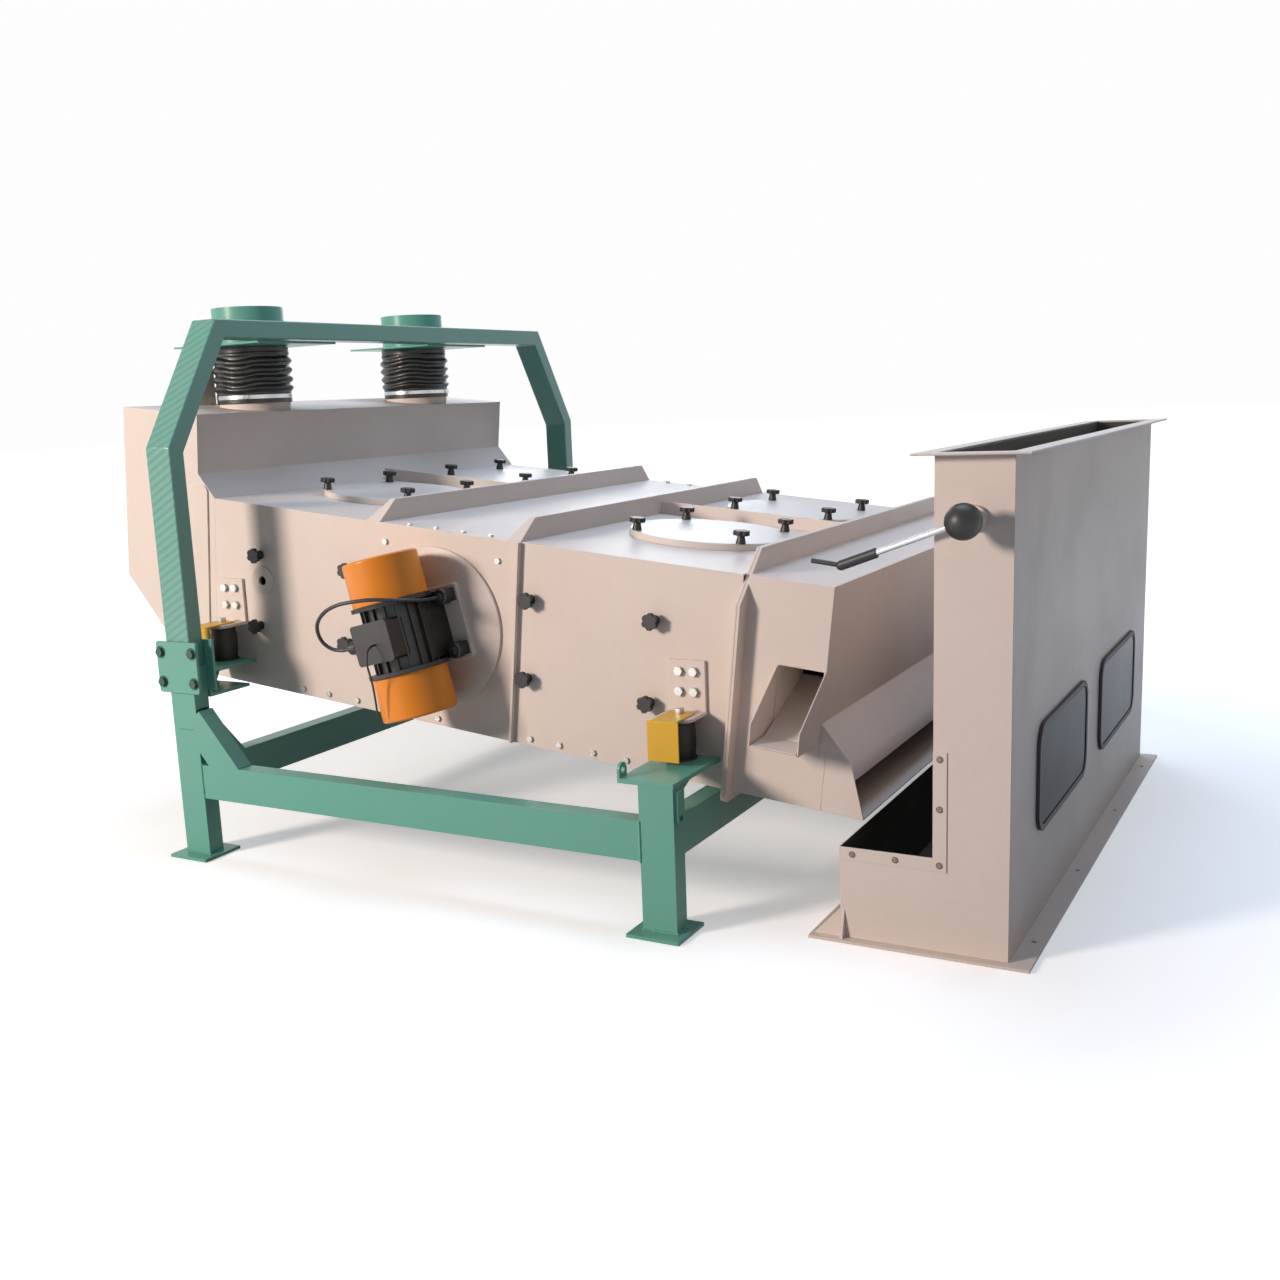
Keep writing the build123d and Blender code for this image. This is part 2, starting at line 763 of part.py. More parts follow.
def screen(deck_w):
    """Screen frame with its rungs and the sheet stretched over it."""
    u0 = deck_end_gap + 5
    u1 = body_len - deck_end_gap - 5
    z0 = deck_w + seat_gap
    z1 = z0 + deck_h
    frame = block(u0, u1, -deck_half, deck_half, z0, z1)
    bay = (u1 - u0 - deck_bar) / (deck_rungs + 1)
    for index in range(deck_rungs + 1):
        a = u0 + deck_bar + index * bay
        for side in (-1, 1):
            frame -= block(a, a + bay - deck_bar, side * deck_bar / 2,
                           side * (deck_half - deck_bar), z0 - 1, z1 + 1)
    frame += block(u0, u1, -deck_half, deck_half, z1, z1 + deck_sheet)
    return in_sieve * frame


# Hatch covers and hand knobs

def hand_knob(stud):
    """Lobed knob standing on Z = 0, with a stud of the given length below."""
    head_z = knob_stem
    head = Pos(0, 0, head_z + knob_head / 2) * Cylinder(knob_d / 2, knob_head)
    for index in range(knob_lobes):
        turn = Rot(0, 0, index * 360 / knob_lobes)
        scoop = Pos(knob_d / 2 + 4, 0, head_z + knob_head / 2) * Cylinder(8, knob_head + 2)
        head -= turn * scoop
    knob = head + Pos(0, 0, head_z / 2) * Cone(knob_stem_d / 2 + 2, knob_stem_d / 2 - 3, head_z)
    if stud:
        knob += Pos(0, 0, -stud / 2) * Cylinder(knob_stud_d / 2, stud)
    return knob


def hatch_cover(hatch_u, side):
    """Shallow round cap over a hatch neck."""
    low = side_h + seat_gap
    body = Pos(0, 0, low + cover_h / 2) * Cylinder(cover_d / 2, cover_h)
    body = fillet(body.edges().group_by(Axis.Z)[-1], 4)
    body -= Pos(0, 0, low + (cover_h - cover_sheet) / 2) * Cylinder(
        cover_d / 2 - cover_sheet, cover_h - cover_sheet)
    body = Pos(hatch_u, side * hatch_y, 0) * body
    for u, y in knob_spots(hatch_u, side):
        body -= Pos(u, y, low + cover_h) * Cylinder(knob_stud_d / 2 + run_gap, 4 * cover_sheet)
    return in_sieve * body


def hatch_knobs(hatch_u, side):
    """The four knobs of one cover, with their studs down through the top sheet."""
    knob = hand_knob(cover_h + seat_gap + 2 * sheet)
    z = side_h + seat_gap + cover_h
    return [in_sieve * (Pos(u, y, z) * knob) for u, y in knob_spots(hatch_u, side)]


def clamp_knobs():
    """Knobs on both side sheets that press the screens down on their ledges."""
    knob = Rot(90, 0, 0) * hand_knob(0)
    knobs = []
    for u in clamp_knob_u:
        for w in clamp_knob_w:
            near = Pos(u, -half_width, w) * knob
            knobs += [in_sieve * near, in_sieve * mirrored(near)]
    return knobs


# Springs, brackets and guards

def rubber_spring(end, side):
    """Round rubber block, necked in at mid height, clear of both its seats."""
    z0 = spring_z[end] + seat_gap
    z1 = spring_z[end] + spring_h - seat_gap
    r = spring_d / 2
    profile = make_face(Polyline((0, z0), (r, z0), (r, z0 + 14), (r - spring_neck, (z0 + z1) / 2),
                                 (r, z1 - 14), (r, z1), (0, z1), close=True))
    plane = Plane(origin=(0, 0, 0), x_dir=(1, 0, 0), z_dir=(0, -1, 0))
    return Pos(spring_x[end], side * spring_y, 0) * revolve(plane * profile, Axis.Z)


def spring_bracket(end, side):
    """Welded bracket on a side sheet: back plate, seat and two curved gussets."""
    x = spring_x[end]
    seat_z = spring_z[end] + spring_h
    back = -half_width
    front = -spring_y - seat_reach
    bracket = block(x - seat_w / 2, x + seat_w / 2, back, back - bracket_t,
                    seat_z, seat_z + bracket_rise)
    seat = block(x - seat_w / 2, x + seat_w / 2, front, back, seat_z, seat_z + seat_t)
    seat = fillet(seat.edges().filter_by(Axis.Z).group_by(Axis.Y)[0], 26)
    bracket += seat
    low = (front + 22, seat_z + seat_t)
    high = (back - bracket_t, seat_z + bracket_rise)
    sag = (low[0] + 0.62 * (high[0] - low[0]), low[1] + 0.3 * (high[1] - low[1]))
    curve = ThreePointArc(low, sag, high)
    edge = Polyline(high, (back - bracket_t, seat_z + seat_t), low)
    plane = Plane(origin=(x - seat_w / 2, 0, 0), x_dir=(0, 1, 0), z_dir=(1, 0, 0))
    gusset = extrude(plane * make_face(curve + edge), amount=bracket_gusset)
    bracket += [gusset, Pos(seat_w - bracket_gusset, 0, 0) * gusset]
    return bracket if side < 0 else mirrored(bracket)


def bracket_bolts():
    """Four bolts on each bracket and one above each spring."""
    bolts = []
    for end, x in spring_x.items():
        seat_z = spring_z[end] + spring_h
        mid = seat_z + seat_t + (bracket_rise - seat_t) * 0.58
        for bx in (-1, 1):
            for bz in (-1, 1):
                head = Rot(90, 0, 0) * hexagon(bracket_bolt_d * 1.7, bracket_bolt_d * 0.8)
                at = Pos(x + bx * bracket_pitch_x / 2, -half_width - bracket_t,
                         mid + bz * bracket_pitch_z / 2)
                bolts += pair(at * head)
        nut = Pos(x, -spring_y, seat_z + seat_t + guard_t) * hexagon(24, 13)
        bolts += pair(nut)
    return bolts


def spring_guard(end, side):
    """Folded sheet that hangs in front of a spring from the top of its seat."""
    x = spring_x[end]
    seat_top = spring_z[end] + spring_h + seat_t
    front = -spring_y - guard_ahead
    low = spring_z[end] + guard_clear
    guard = block(x - guard_w / 2, x + guard_w / 2, front, front + guard_t, low,
                  seat_top + guard_t)
    guard += block(x - guard_w / 2 + bracket_gusset, x + guard_w / 2 - bracket_gusset, front,
                   -spring_y + 18, seat_top, seat_top + guard_t)
    return guard if side < 0 else mirrored(guard)


def spring_shelf(side):
    """Bracket on the inside of an inlet leg that carries its spring."""
    face = -leg_y + post_d / 2 + splice_t
    inner = -spring_y + seat_reach - spring_d / 8
    top = inlet_spring_z
    low = top - shelf_drop
    x0 = spring_x["inlet"] - seat_front
    x1 = inlet_x + post_w / 2
    shelf = block(x0, x1, face, inner, top - shelf_t, top)
    shelf += block(x0, x1, face, face + shelf_t, low, top + shelf_lip)
    shelf += block(x0, x1, face, inner - shelf_drop / 2, low, low + shelf_t)
    cheek = [(face, top + shelf_lip), (face + shelf_lip, top + shelf_lip), (inner, top),
             (inner, top - shelf_t), (inner - shelf_drop / 2, low), (face, low)]
    shelf += outline_yz(cheek, x0, x0 + shelf_cheek)
    return shelf if side < 0 else mirrored(shelf)


def frame_bolts():
    """Bolts through the splice plates."""
    bolts = []
    for side in (-1, 1):
        face = side * (leg_y + post_d / 2 + splice_t)
        for bx in (-1, 1):
            for bz in (-1, 1):
                x = inlet_x + bx * splice_pitch_x / 2
                z = inlet_post_top + bz * splice_pitch_z / 2
                head = Rot(-90 * side, 0, 0) * hexagon(frame_bolt_d * 1.6, frame_bolt_d * 0.6)
                bolts.append(Pos(x, face, z) * head)
    return bolts


# Vibration motors, drawn on the near side with the motor's axis upright

def on_side(side):
    """Where a motor stands on its side sheet, leaning back over the flow."""
    at = in_sieve * Location((motor_u, -half_width, motor_w), (0, -motor_lean, 0))

    def place(shape):
        near = at * shape
        return near if side < 0 else mirrored(near)
    return place


def motor_disc():
    """Dished disc that turns on the side sheet to set the angle of the stroke."""
    y0 = -seat_gap
    rim = y0 - disc_rim
    flat = rim - disc_rise
    half = [(0, y0), (disc_d / 2, y0), (disc_d / 2, rim), (disc_flat_d / 2, flat), (0, flat)]
    disc = revolve(make_face(Polyline(*half, close=True)), Axis.Y)
    disc += ring_y(spigot_d, y0, sheet + 6)
    mount = block(-mount_w / 2, mount_w / 2, flat - mount_t, flat, -mount_h / 2, mount_h / 2)
    return disc + fillet(mount.edges().filter_by(Axis.Y), 12)


def mount_face():
    """Outer face of the mounting plate on the disc."""
    return -seat_gap - disc_rim - disc_rise - mount_t


def motor_body():
    """Cast body with fins, end flanges, feet and terminal box, bored for its rotor."""
    out = Pos(0, -motor_axis_out, 0)
    body = out * Cylinder(motor_body_d / 2 - fin_h, 2 * motor_core_half)
    fin_len = 2 * (motor_core_half - motor_flange_t)
    for index in range(fin_count):
        turn = Rot(0, 0, index * 360 / fin_count)
        body += out * (turn * (Pos(motor_body_d / 2 - fin_h, 0, 0) * Box(2 * fin_h, fin_w, fin_len)))
    for end in (-1, 1):
        z = end * (motor_core_half - motor_flange_t / 2)
        body += out * (Pos(0, 0, z) * Cylinder(motor_flange_d / 2, motor_flange_t))
    foot_face = mount_face()
    body += block(-motor_foot_w / 2, motor_foot_w / 2, -motor_axis_out, foot_face,
                  -motor_core_half + motor_flange_t + 6, motor_core_half - motor_flange_t - 6)
    for end in (-1, 1):
        z = end * nut_pitch / 2
        body += block(-nut_offset - 20, nut_offset + 20, foot_face - motor_foot_t, foot_face,
                      z - 20, z + 20)
    face = -motor_axis_out - motor_body_d / 2
    box = block(-terminal_w / 2, terminal_w / 2, face - terminal_out, -motor_axis_out - 20,
                -terminal_h / 2, terminal_h / 2)
    body += fillet(box.edges().filter_by(Axis.Y).group_by(Axis.Y)[0], 10)
    body -= out * Cylinder(shaft_d / 2 + run_gap, 2 * motor_core_half + 2)
    body -= out * Cylinder(rotor_d / 2 + rotor_gap, 2 * (rotor_half + rotor_gap))
    return body


def weight_cover(end):
    """Drawn cap over the weights at one end of a motor."""
    z0 = motor_core_half
    cap = Pos(0, 0, z0 + motor_cover_len / 2) * Cylinder(motor_cover_d / 2, motor_cover_len)
    cap = fillet(cap.edges().group_by(Axis.Z)[-1], 8)
    cap -= Pos(0, 0, z0 + (motor_cover_len - motor_cover_wall) / 2) * Cylinder(
        motor_cover_d / 2 - motor_cover_wall, motor_cover_len - motor_cover_wall)
    turn = Rot(0, 0, 0) if end > 0 else Rot(180, 0, 0)
    return Pos(0, -motor_axis_out, 0) * (turn * cap)


def motor_rotor():
    """Shaft with its core and an eccentric weight under each cover."""
    reach = motor_core_half + weight_gap + weight_t + 10
    rotor = Cylinder(shaft_d / 2, 2 * reach) + Cylinder(rotor_d / 2, 2 * rotor_half)
    for end in (-1, 1):
        z = end * (motor_core_half + weight_gap + weight_t / 2)
        weight = Cylinder(weight_d / 2, weight_t)
        weight -= Pos(weight_d / 2 + shaft_d * 0.35, 0, 0) * Box(weight_d, 2 * weight_d, weight_t + 2)
        weight += Cylinder(shaft_d * 0.9, weight_t)
        rotor += Pos(0, 0, z) * weight
    return Pos(0, -motor_axis_out, 0) * rotor


def motor_nuts():
    """Large capped nuts that hold the motor's feet to the disc."""
    face = mount_face() - motor_foot_t
    nuts = []
    for x in (-nut_offset, nut_offset):
        for z in (-nut_pitch / 2, nut_pitch / 2):
            nut = rod(nut_d, (x, face, z), (x, face - nut_len, z))
            nut = fillet(nut.edges().group_by(Axis.Y)[0], 6)
            nut += rod(nut_core_d, (x, face - nut_len, z), (x, face - nut_len - nut_core_t, z))
            nuts.append(nut)
    return nuts


def motor_gland():
    """Cable entry on the upstream side of the terminal box."""
    y = -motor_axis_out - motor_body_d / 2 - terminal_out / 2
    x = -terminal_w / 2
    return rod(gland_d, (x, y, 0), (x - gland_len, y, 0)) + rod(
        gland_d * 0.55, (x - gland_len, y, 0), (x - gland_len - 10, y, 0))


def tangent_tube(points, d):
    """Round lead along straight runs joined by tangent arcs."""
    radii = []
    for a, b, c in zip(points, points[1:], points[2:]):
        before = Vector(*b) - Vector(*a)
        after = Vector(*c) - Vector(*b)
        turn = radians(before.get_angle(after))
        radii.append(0.45 * min(before.length, after.length) / tan(turn / 2))
    print("lead radii", [round(r, 1) for r in radii])
    path = FilletPolyline(*points, radius=radii)
    start = Plane(origin=path @ 0, z_dir=path % 0)
    return sweep(start * Circle(d / 2), path=path)


# Air channel

def channel_shell():
    """Upright sheet channel, open at the top, with the hopper at its foot."""
    x0 = channel_x0
    x1 = channel_x1
    xh = x0 - hopper_len
    t = channel_sheet
    y = channel_half
    shell = block(x0, x1, -y, y, base_t, channel_h)
    shell += block(xh, x0, -y, y, base_t, hopper_h)
    shell -= block(x0 + t, x1 - t, -y + t, y - t, base_t + t, channel_h + 1)
    shell -= block(xh + t, x0 + 2 * t, -y + t, y - t, base_t + t, hopper_h + 1)
    shell -= block(x0 - 1, x0 + t + 1, -y + t, y - t, base_t + t, mouth_top)
    shell -= channel_window_hole()
    for side in (-1, 1):
        shell += Pos(channel_x0 + channel_depth / 2, side * y, valve_z) * valve_boss(side)
    bore = valve_shaft_d + 2 * run_gap
    x = channel_x0 + channel_depth / 2
    shell -= rod(bore, (x, -y - valve_boss_t - 1, valve_z), (x, y + valve_boss_t + 1, valve_z))
    return shell


def valve_boss(side):
    return rod(valve_boss_d, (0, 0, 0), (0, side * valve_boss_t, 0))


def window_frame(inset, x0, x1, side):
    """Round-cornered block on the window's place, smaller all round by the inset."""
    plane = Plane(origin=(x0, side * window_y, window_z), x_dir=(0, 1, 0), z_dir=(1, 0, 0))
    face = RectangleRounded(window_w - 2 * inset, window_h - 2 * inset, window_radius - inset)
    return extrude(plane * face, amount=x1 - x0)


def channel_window_hole():
    x0 = channel_x1 - channel_sheet - 1
    return [window_frame(seal_w / 2, x0, channel_x1 + 1, side) for side in (-1, 1)]


def window_seal(side):
    """Rubber section round a window, gripping the wall outside and the pane inside."""
    x1 = channel_x1 + seal_t - channel_sheet
    seal = window_frame(0, channel_x1 + seat_gap, x1, side)
    seal += window_frame(seal_w / 2 + seat_gap, channel_x1 - channel_sheet, x1, side)
    seal -= window_frame(seal_w, channel_x1 - channel_sheet - 1, x1 + 1, side)
    seal -= window_frame(seal_w - seal_grip, pane_x() - seat_gap, pane_x() + pane_t + seat_gap,
                         side)
    return seal


def pane_x():
    return channel_x1 + (seal_t - channel_sheet - pane_t) / 2


def window_pane(side):
    return window_frame(seal_w - seal_grip + seat_gap, pane_x(), pane_x() + pane_t, side)


def channel_base():
    """Floor flange of the channel, with corner gussets and fixing holes."""
    x0 = channel_x0 - hopper_len - base_lip_back
    x1 = channel_x1 + base_lip_front
    y = channel_half + base_lip_side
    base = block(x0, x1, -y, y, 0, base_t)
    wall = channel_x0 - hopper_len
    toe = [(wall, base_t), (wall - base_lip_back + 8, base_t), (wall, base_t + gusset_h)]
    for inset in (0, 0.5, 1):
        y0 = -channel_half + inset * (2 * channel_half - gusset_t)
        base += outline_xz(toe, y0, y0 + gusset_t)
    side_toe = [(-channel_half, base_t), (-y + 4, base_t), (-channel_half, base_t + gusset_h)]
    base += pair(outline_yz(side_toe, wall + gusset_t, wall + 2 * gusset_t))
    for x in (x0 + 30, x1 - 28):
        for hole_y in (-0.85, -0.3, 0.3, 0.85):
            base -= Pos(x, hole_y * channel_half, base_t / 2) * Cylinder(7, base_t + 2)
    return base


def channel_rim():
    """Flange round the open top, where the air duct is bolted on."""
    x0 = channel_x0 - rim_out
    x1 = channel_x1 + rim_out
    y = channel_half + rim_out
    rim = block(x0, x1, -y, y, channel_h, channel_h + rim_t)
    t = channel_sheet
    return rim - block(channel_x0 + t, channel_x1 - t, -channel_half + t, channel_half - t,
                       channel_h - 1, channel_h + rim_t + 1)


def mouth_trim():
    """Angle strip screwed round the notch where the sieve's outlet enters the channel."""
    face = -channel_half
    x0 = channel_x0 - hopper_len
    strip = block(channel_x0, channel_x0 + trim_w, face, face - trim_t, hopper_h - trim_w,
                  mouth_top)
    strip += block(x0, channel_x0 + trim_w, face, face - trim_t, hopper_h - trim_w, hopper_h)
    return strip


def trim_screws():
    """Screws along both arms of the trim, and the bolts through the floor flange."""
    face = -channel_half - trim_t
    mid = channel_x0 + trim_w / 2
    row = hopper_h - trim_w / 2
    far_end = channel_x0 - hopper_len + trim_w
    spots = [(mid, mouth_top - trim_w / 2), (mid, (mouth_top + row) / 2), (mid, row),
             ((mid + far_end) / 2, row), (far_end, row)]
    screws = []
    for x, z in spots:
        head = Rot(90, 0, 0) * Cone(trim_screw_d, trim_screw_d * 0.6, 4,
                                    align=(Align.CENTER, Align.CENTER, Align.MIN))
        screws += pair(Pos(x, face, z) * head)
    return screws


# Air valve

def valve_flap():
    """Flap on the shaft that runs right across the channel."""
    x = channel_x0 + channel_depth / 2
    reach = channel_half - channel_sheet - valve_side_gap
    near_end = -channel_half - valve_boss_t - lever_hub_t - 8
    far_end = channel_half + valve_boss_t
    flap = Box(valve_flap_t, 2 * reach, valve_flap_w)
    flap = Pos(x, 0, valve_z) * Rot(0, -valve_lean, 0) * flap
    return flap + rod(valve_shaft_d, (x, near_end, valve_z), (x, far_end, valve_z))


def lever_points():
    """Hub, rod end, grip end and grip tail of the valve lever, seen from the side."""
    x = channel_x0 + channel_depth / 2
    y = -channel_half - valve_boss_t - seat_gap - lever_hub_t / 2
    run = (-cos(radians(lever_angle)), -sin(radians(lever_angle)))
    points = []
    for length in (0, lever_len, lever_len + grip_len):
        points.append((x + run[0] * length, y, valve_z + run[1] * length))
    last = points[-1]
    points.append((last[0] - grip_tail, y, last[2] + 10))
    return points


def valve_lever():
    hub, knee = lever_points()[:2]
    y = hub[1]
    lever = rod(lever_hub_d, (hub[0], y - lever_hub_t / 2, hub[2]),
                (hub[0], y + lever_hub_t / 2, hub[2]))
    lever += rod(lever_d, hub, knee)
    return lever - rod(valve_shaft_d, (hub[0], y - lever_hub_t, hub[2]),
                       (hub[0], y + lever_hub_t, hub[2]))


def valve_grip():
    knee, last, tail = lever_points()[1:]
    grip = rod(grip_d, knee, last)
    grip += Pos(*last) * Sphere(grip_d / 2)
    return grip + rod(grip_tail_d, last, tail)


def lock_knob():
    """Ball knob screwed on the end of the valve shaft, which clamps the lever."""
    x = channel_x0 + channel_depth / 2
    end = -channel_half - valve_boss_t - lever_hub_t - 8
    centre = end - seat_gap - 10 - ball_d / 2 + 3
    ball = Pos(x, centre, valve_z) * Sphere(ball_d / 2)
    return ball + rod(ball_stud_d + 14, (x, end - seat_gap, valve_z), (x, centre, valve_z))


# Leads on the near motor, drawn in the motor's own frame

def lead_routes():
    face = -motor_axis_out - motor_body_d / 2
    y = face - terminal_out / 2
    start_x = -terminal_w / 2 - gland_len - 10
    over = face - terminal_out - 40
    nut_z = nut_pitch / 2
    nut_end = mount_face() - motor_foot_t - nut_len - nut_core_t
    lead = [(start_x, y, 0), (start_x - 44, y, 0), (start_x - 76, y - 20, 34),
            (start_x - 56, y - 50, 86), (start_x - 4, over - 8, 118),
            (start_x + 52, over - 6, 130), (start_x + 108, over + 4, 126),
            (start_x + 164, over + 24, 118), (nut_offset - 4, over + 80, nut_z + 16),
            (nut_offset, nut_end - 60, nut_z), (nut_offset, nut_end, nut_z)]
    thin = [(8, face - terminal_out, -6), (8, face - terminal_out - 34, -6),
            (2, face - terminal_out - 48, -52), (-14, face - terminal_out - 26, -98),
            (-30, face - terminal_out - 12, -150), (-44, face - terminal_out - 6, -204)]
    return lead, thin


def part_nodes():
    """Every sub-part by its node's name, as one solid or a list of solids."""
    nodes = {
        "base_frame": base_frame(),
        "inlet_portal": inlet_portal(),
        "splice_plates": splice_plate(-1) + splice_plate(1),
        "splice_bolts": frame_bolts(),
        "inlet_spring_shelves": [spring_shelf(side) for side in (-1, 1)],
        "channel_shell": channel_shell(),
        "channel_base_flange": channel_base(),
        "channel_top_flange": channel_rim(),
        "mouth_trims": pair(mouth_trim()) + trim_screws(),
        "feed_spouts": [feed_spout(side) for side in (-1, 1)],
        "window_seals": [window_seal(side) for side in (-1, 1)],
        "window_panes": [window_pane(side) for side in (-1, 1)],
        "inlet_box": inlet_box(),
        "sleeve_clamps": [sleeve_clamp(side) for side in (-1, 1)],
        "floor_pan": floor_pan(),
        "top_panel_inlet": in_sieve * (top_panel(0, inlet_ridge_u, inlet_hatch_u)
                                       + ridge(inlet_ridge_u)),
        "top_panel_middle": in_sieve * (top_panel(inlet_ridge_u, outlet_ridge_u, spine=False)
                                        + ridge(outlet_ridge_u)),
        "top_panel_outlet": in_sieve * top_panel(outlet_ridge_u, body_len, outlet_hatch_u),
        "end_flange": in_sieve * end_flange(body_len, body_len + flange_t),
        "outlet_box": outlet_box(),
        "side_spout": side_spout(),
        "upper_screen": screen(upper_deck_w),
        "lower_screen": screen(lower_deck_w),
        "screen_clamp_knobs": clamp_knobs(),
        "panel_screws": panel_screws(),
        "bracket_bolts": bracket_bolts(),
        "valve_flap": valve_flap(),
        "valve_lever": valve_lever(),
        "valve_grip": valve_grip(),
        "valve_lock_knob": lock_knob(),
    }
    for name, side in sides.items():
        nodes[f"feed_sleeve_{name}"] = sleeve(side)
        nodes[f"side_panel_{name}"] = side_panel(side)
        place = on_side(side)
        nodes[f"motor_disc_{name}"] = place(motor_disc())
        nodes[f"motor_body_{name}"] = place(motor_body())
        nodes[f"motor_covers_{name}"] = [place(weight_cover(end)) for end in (-1, 1)]
        nodes[f"motor_rotor_{name}"] = place(motor_rotor())
        nodes[f"motor_nuts_{name}"] = [place(nut) for nut in motor_nuts() + [motor_gland()]]
        for end, u in (("inlet", inlet_hatch_u), ("outlet", outlet_hatch_u)):
            nodes[f"hatch_cover_{end}_{name}"] = hatch_cover(u, side)
            nodes[f"hatch_knobs_{end}_{name}"] = hatch_knobs(u, side)
        for end in spring_x:
            nodes[f"spring_{end}_{name}"] = rubber_spring(end, side)
    nodes["spring_brackets"] = [spring_bracket(end, side) for end in spring_x for side in (-1, 1)]
    nodes["spring_guards"] = [spring_guard(end, side) for end in spring_x for side in (-1, 1)]
    lead, thin = lead_routes()
    near = on_side(-1)
    nodes["motor_lead"] = near(tangent_tube(lead, lead_d))
    nodes["motor_thin_lead"] = near(tangent_tube(thin, thin_lead_d))
    return nodes


def write_parts():
    os.makedirs("parts", exist_ok=True)
    nodes = part_nodes()
    for name, shape in nodes.items():
        pieces = shape if isinstance(shape, list) else [shape]
        solids = [solid for piece in pieces for solid in piece.solids()]
        export_step(Compound(solids), f"parts/{name}.step")
    print(len(nodes), "nodes")


write_parts()
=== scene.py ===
# %% [markdown]
# # A grain sieve, dressed for its picture
# The machine is a sloping sieve box on rubber springs, inside a green frame of rectangular
# tube, with an upright air channel at its lower end. Its pieces arrive as a fixed frame of
# solids in metres. This lesson rounds their edges, gives them paint, rubber, steel and glass,
# and builds the soft and small things that solids only stand in for.

# %% Load the frame
import json
from math import cos, pi, radians, sin

import bmesh
import bpy
from mathutils import Matrix, Vector, noise

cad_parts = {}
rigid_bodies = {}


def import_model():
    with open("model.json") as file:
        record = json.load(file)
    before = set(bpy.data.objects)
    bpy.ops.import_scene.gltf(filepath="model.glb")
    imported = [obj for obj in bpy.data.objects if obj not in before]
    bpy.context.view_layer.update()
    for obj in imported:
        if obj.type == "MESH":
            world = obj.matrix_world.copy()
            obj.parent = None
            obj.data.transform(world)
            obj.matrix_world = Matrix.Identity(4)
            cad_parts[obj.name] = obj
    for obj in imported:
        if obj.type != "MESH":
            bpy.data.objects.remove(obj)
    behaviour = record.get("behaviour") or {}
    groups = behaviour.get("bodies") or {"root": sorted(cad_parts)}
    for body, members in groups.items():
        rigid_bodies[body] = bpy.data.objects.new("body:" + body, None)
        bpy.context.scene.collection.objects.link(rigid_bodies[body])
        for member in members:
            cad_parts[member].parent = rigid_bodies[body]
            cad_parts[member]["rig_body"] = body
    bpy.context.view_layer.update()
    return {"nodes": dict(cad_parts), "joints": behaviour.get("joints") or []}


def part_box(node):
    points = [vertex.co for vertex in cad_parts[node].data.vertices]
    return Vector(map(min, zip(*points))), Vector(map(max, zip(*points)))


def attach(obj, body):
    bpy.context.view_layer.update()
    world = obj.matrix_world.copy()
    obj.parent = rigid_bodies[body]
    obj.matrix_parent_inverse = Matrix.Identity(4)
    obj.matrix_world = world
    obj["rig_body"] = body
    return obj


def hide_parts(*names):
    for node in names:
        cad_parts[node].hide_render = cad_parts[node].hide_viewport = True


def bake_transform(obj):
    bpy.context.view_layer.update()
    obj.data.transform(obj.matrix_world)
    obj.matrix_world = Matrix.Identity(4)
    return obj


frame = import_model()

# %% [markdown]
# The camera stands where the photographer stood: near the outlet end, at about head height,
# turned thirty degrees off the machine's side and tipped a little down. The picture was cut
# from a larger one, so its optical centre is left of and below the middle, and a small lens
# shift stands for that.

# %% Camera
image_side = 1280
focal_pixels = 1360.8
optical_centre = (595.7, 666.9)
camera_place = Vector((2.1872, -4.1322, 1.3702))
turn, tip, roll = radians(30.115), radians(11.096), radians(-2.553)

ahead = Vector((-sin(turn) * cos(tip), cos(turn) * cos(tip), -sin(tip)))
level = Vector((cos(turn), sin(turn), 0))
above = level.cross(ahead)
right = cos(roll) * level + sin(roll) * above
upward = -sin(roll) * level + cos(roll) * above

camera_data = bpy.data.cameras.new("camera")
camera_data.sensor_width = 36
camera_data.lens = focal_pixels / image_side * camera_data.sensor_width
camera_data.shift_x = (image_side / 2 - optical_centre[0]) / image_side
camera_data.shift_y = (optical_centre[1] - image_side / 2) / image_side
camera = bpy.data.objects.new("camera", camera_data)
camera.matrix_world = Matrix((
    (right.x, upward.x, -ahead.x, camera_place.x),
    (right.y, upward.y, -ahead.y, camera_place.y),
    (right.z, upward.z, -ahead.z, camera_place.z),
    (0, 0, 0, 1),
))
bpy.context.scene.collection.objects.link(camera)
bpy.context.scene.camera = camera
print("lens", round(camera_data.lens, 2), "mm")

# %% [markdown]
# In the photo a low sun lights the long side, while the tops and the channel's end wall lie
# in soft shade. Four area lamps keep that order without its harshness: a broad, warm key from
# the left front, a faint fill from the right, a cool one overhead like open sky, and one that
# shows the far side when the machine is seen from behind. Each gets a place and an aim in
# metres, the width of its disc, its power in watts and its colour.

# %% Lamps
def lamp(name, place, aim, size, power, colour):
    data = bpy.data.lights.new(name, "AREA")
    data.shape = "DISK"
    data.size = size
    data.energy = power
    data.color = colour
    made = bpy.data.objects.new(name, data)
    made.location = place
    made.rotation_euler = (Vector(aim) - Vector(place)).to_track_quat("-Z", "Y").to_euler()
    bpy.context.scene.collection.objects.link(made)


lamp("key", (-4.2, -7.6, 3.3), (0, -0.4, 0.7), 1.8, 660, (1.0, 0.865, 0.775))
lamp("fill", (6.0, -3.0, 3.0), (0.3, 0, 0.6), 3.5, 3, (0.80, 0.90, 1.0))
lamp("overhead", (0.5, 1.5, 6.5), (0, 0, 0.5), 5.0, 270, (0.60, 0.75, 1.0))
lamp("rear", (-3.5, 6.5, 3.5), (0, 0, 0.8), 3.0, 80, (0.90, 0.95, 1.0))
print(len(bpy.data.lights), "lamps")

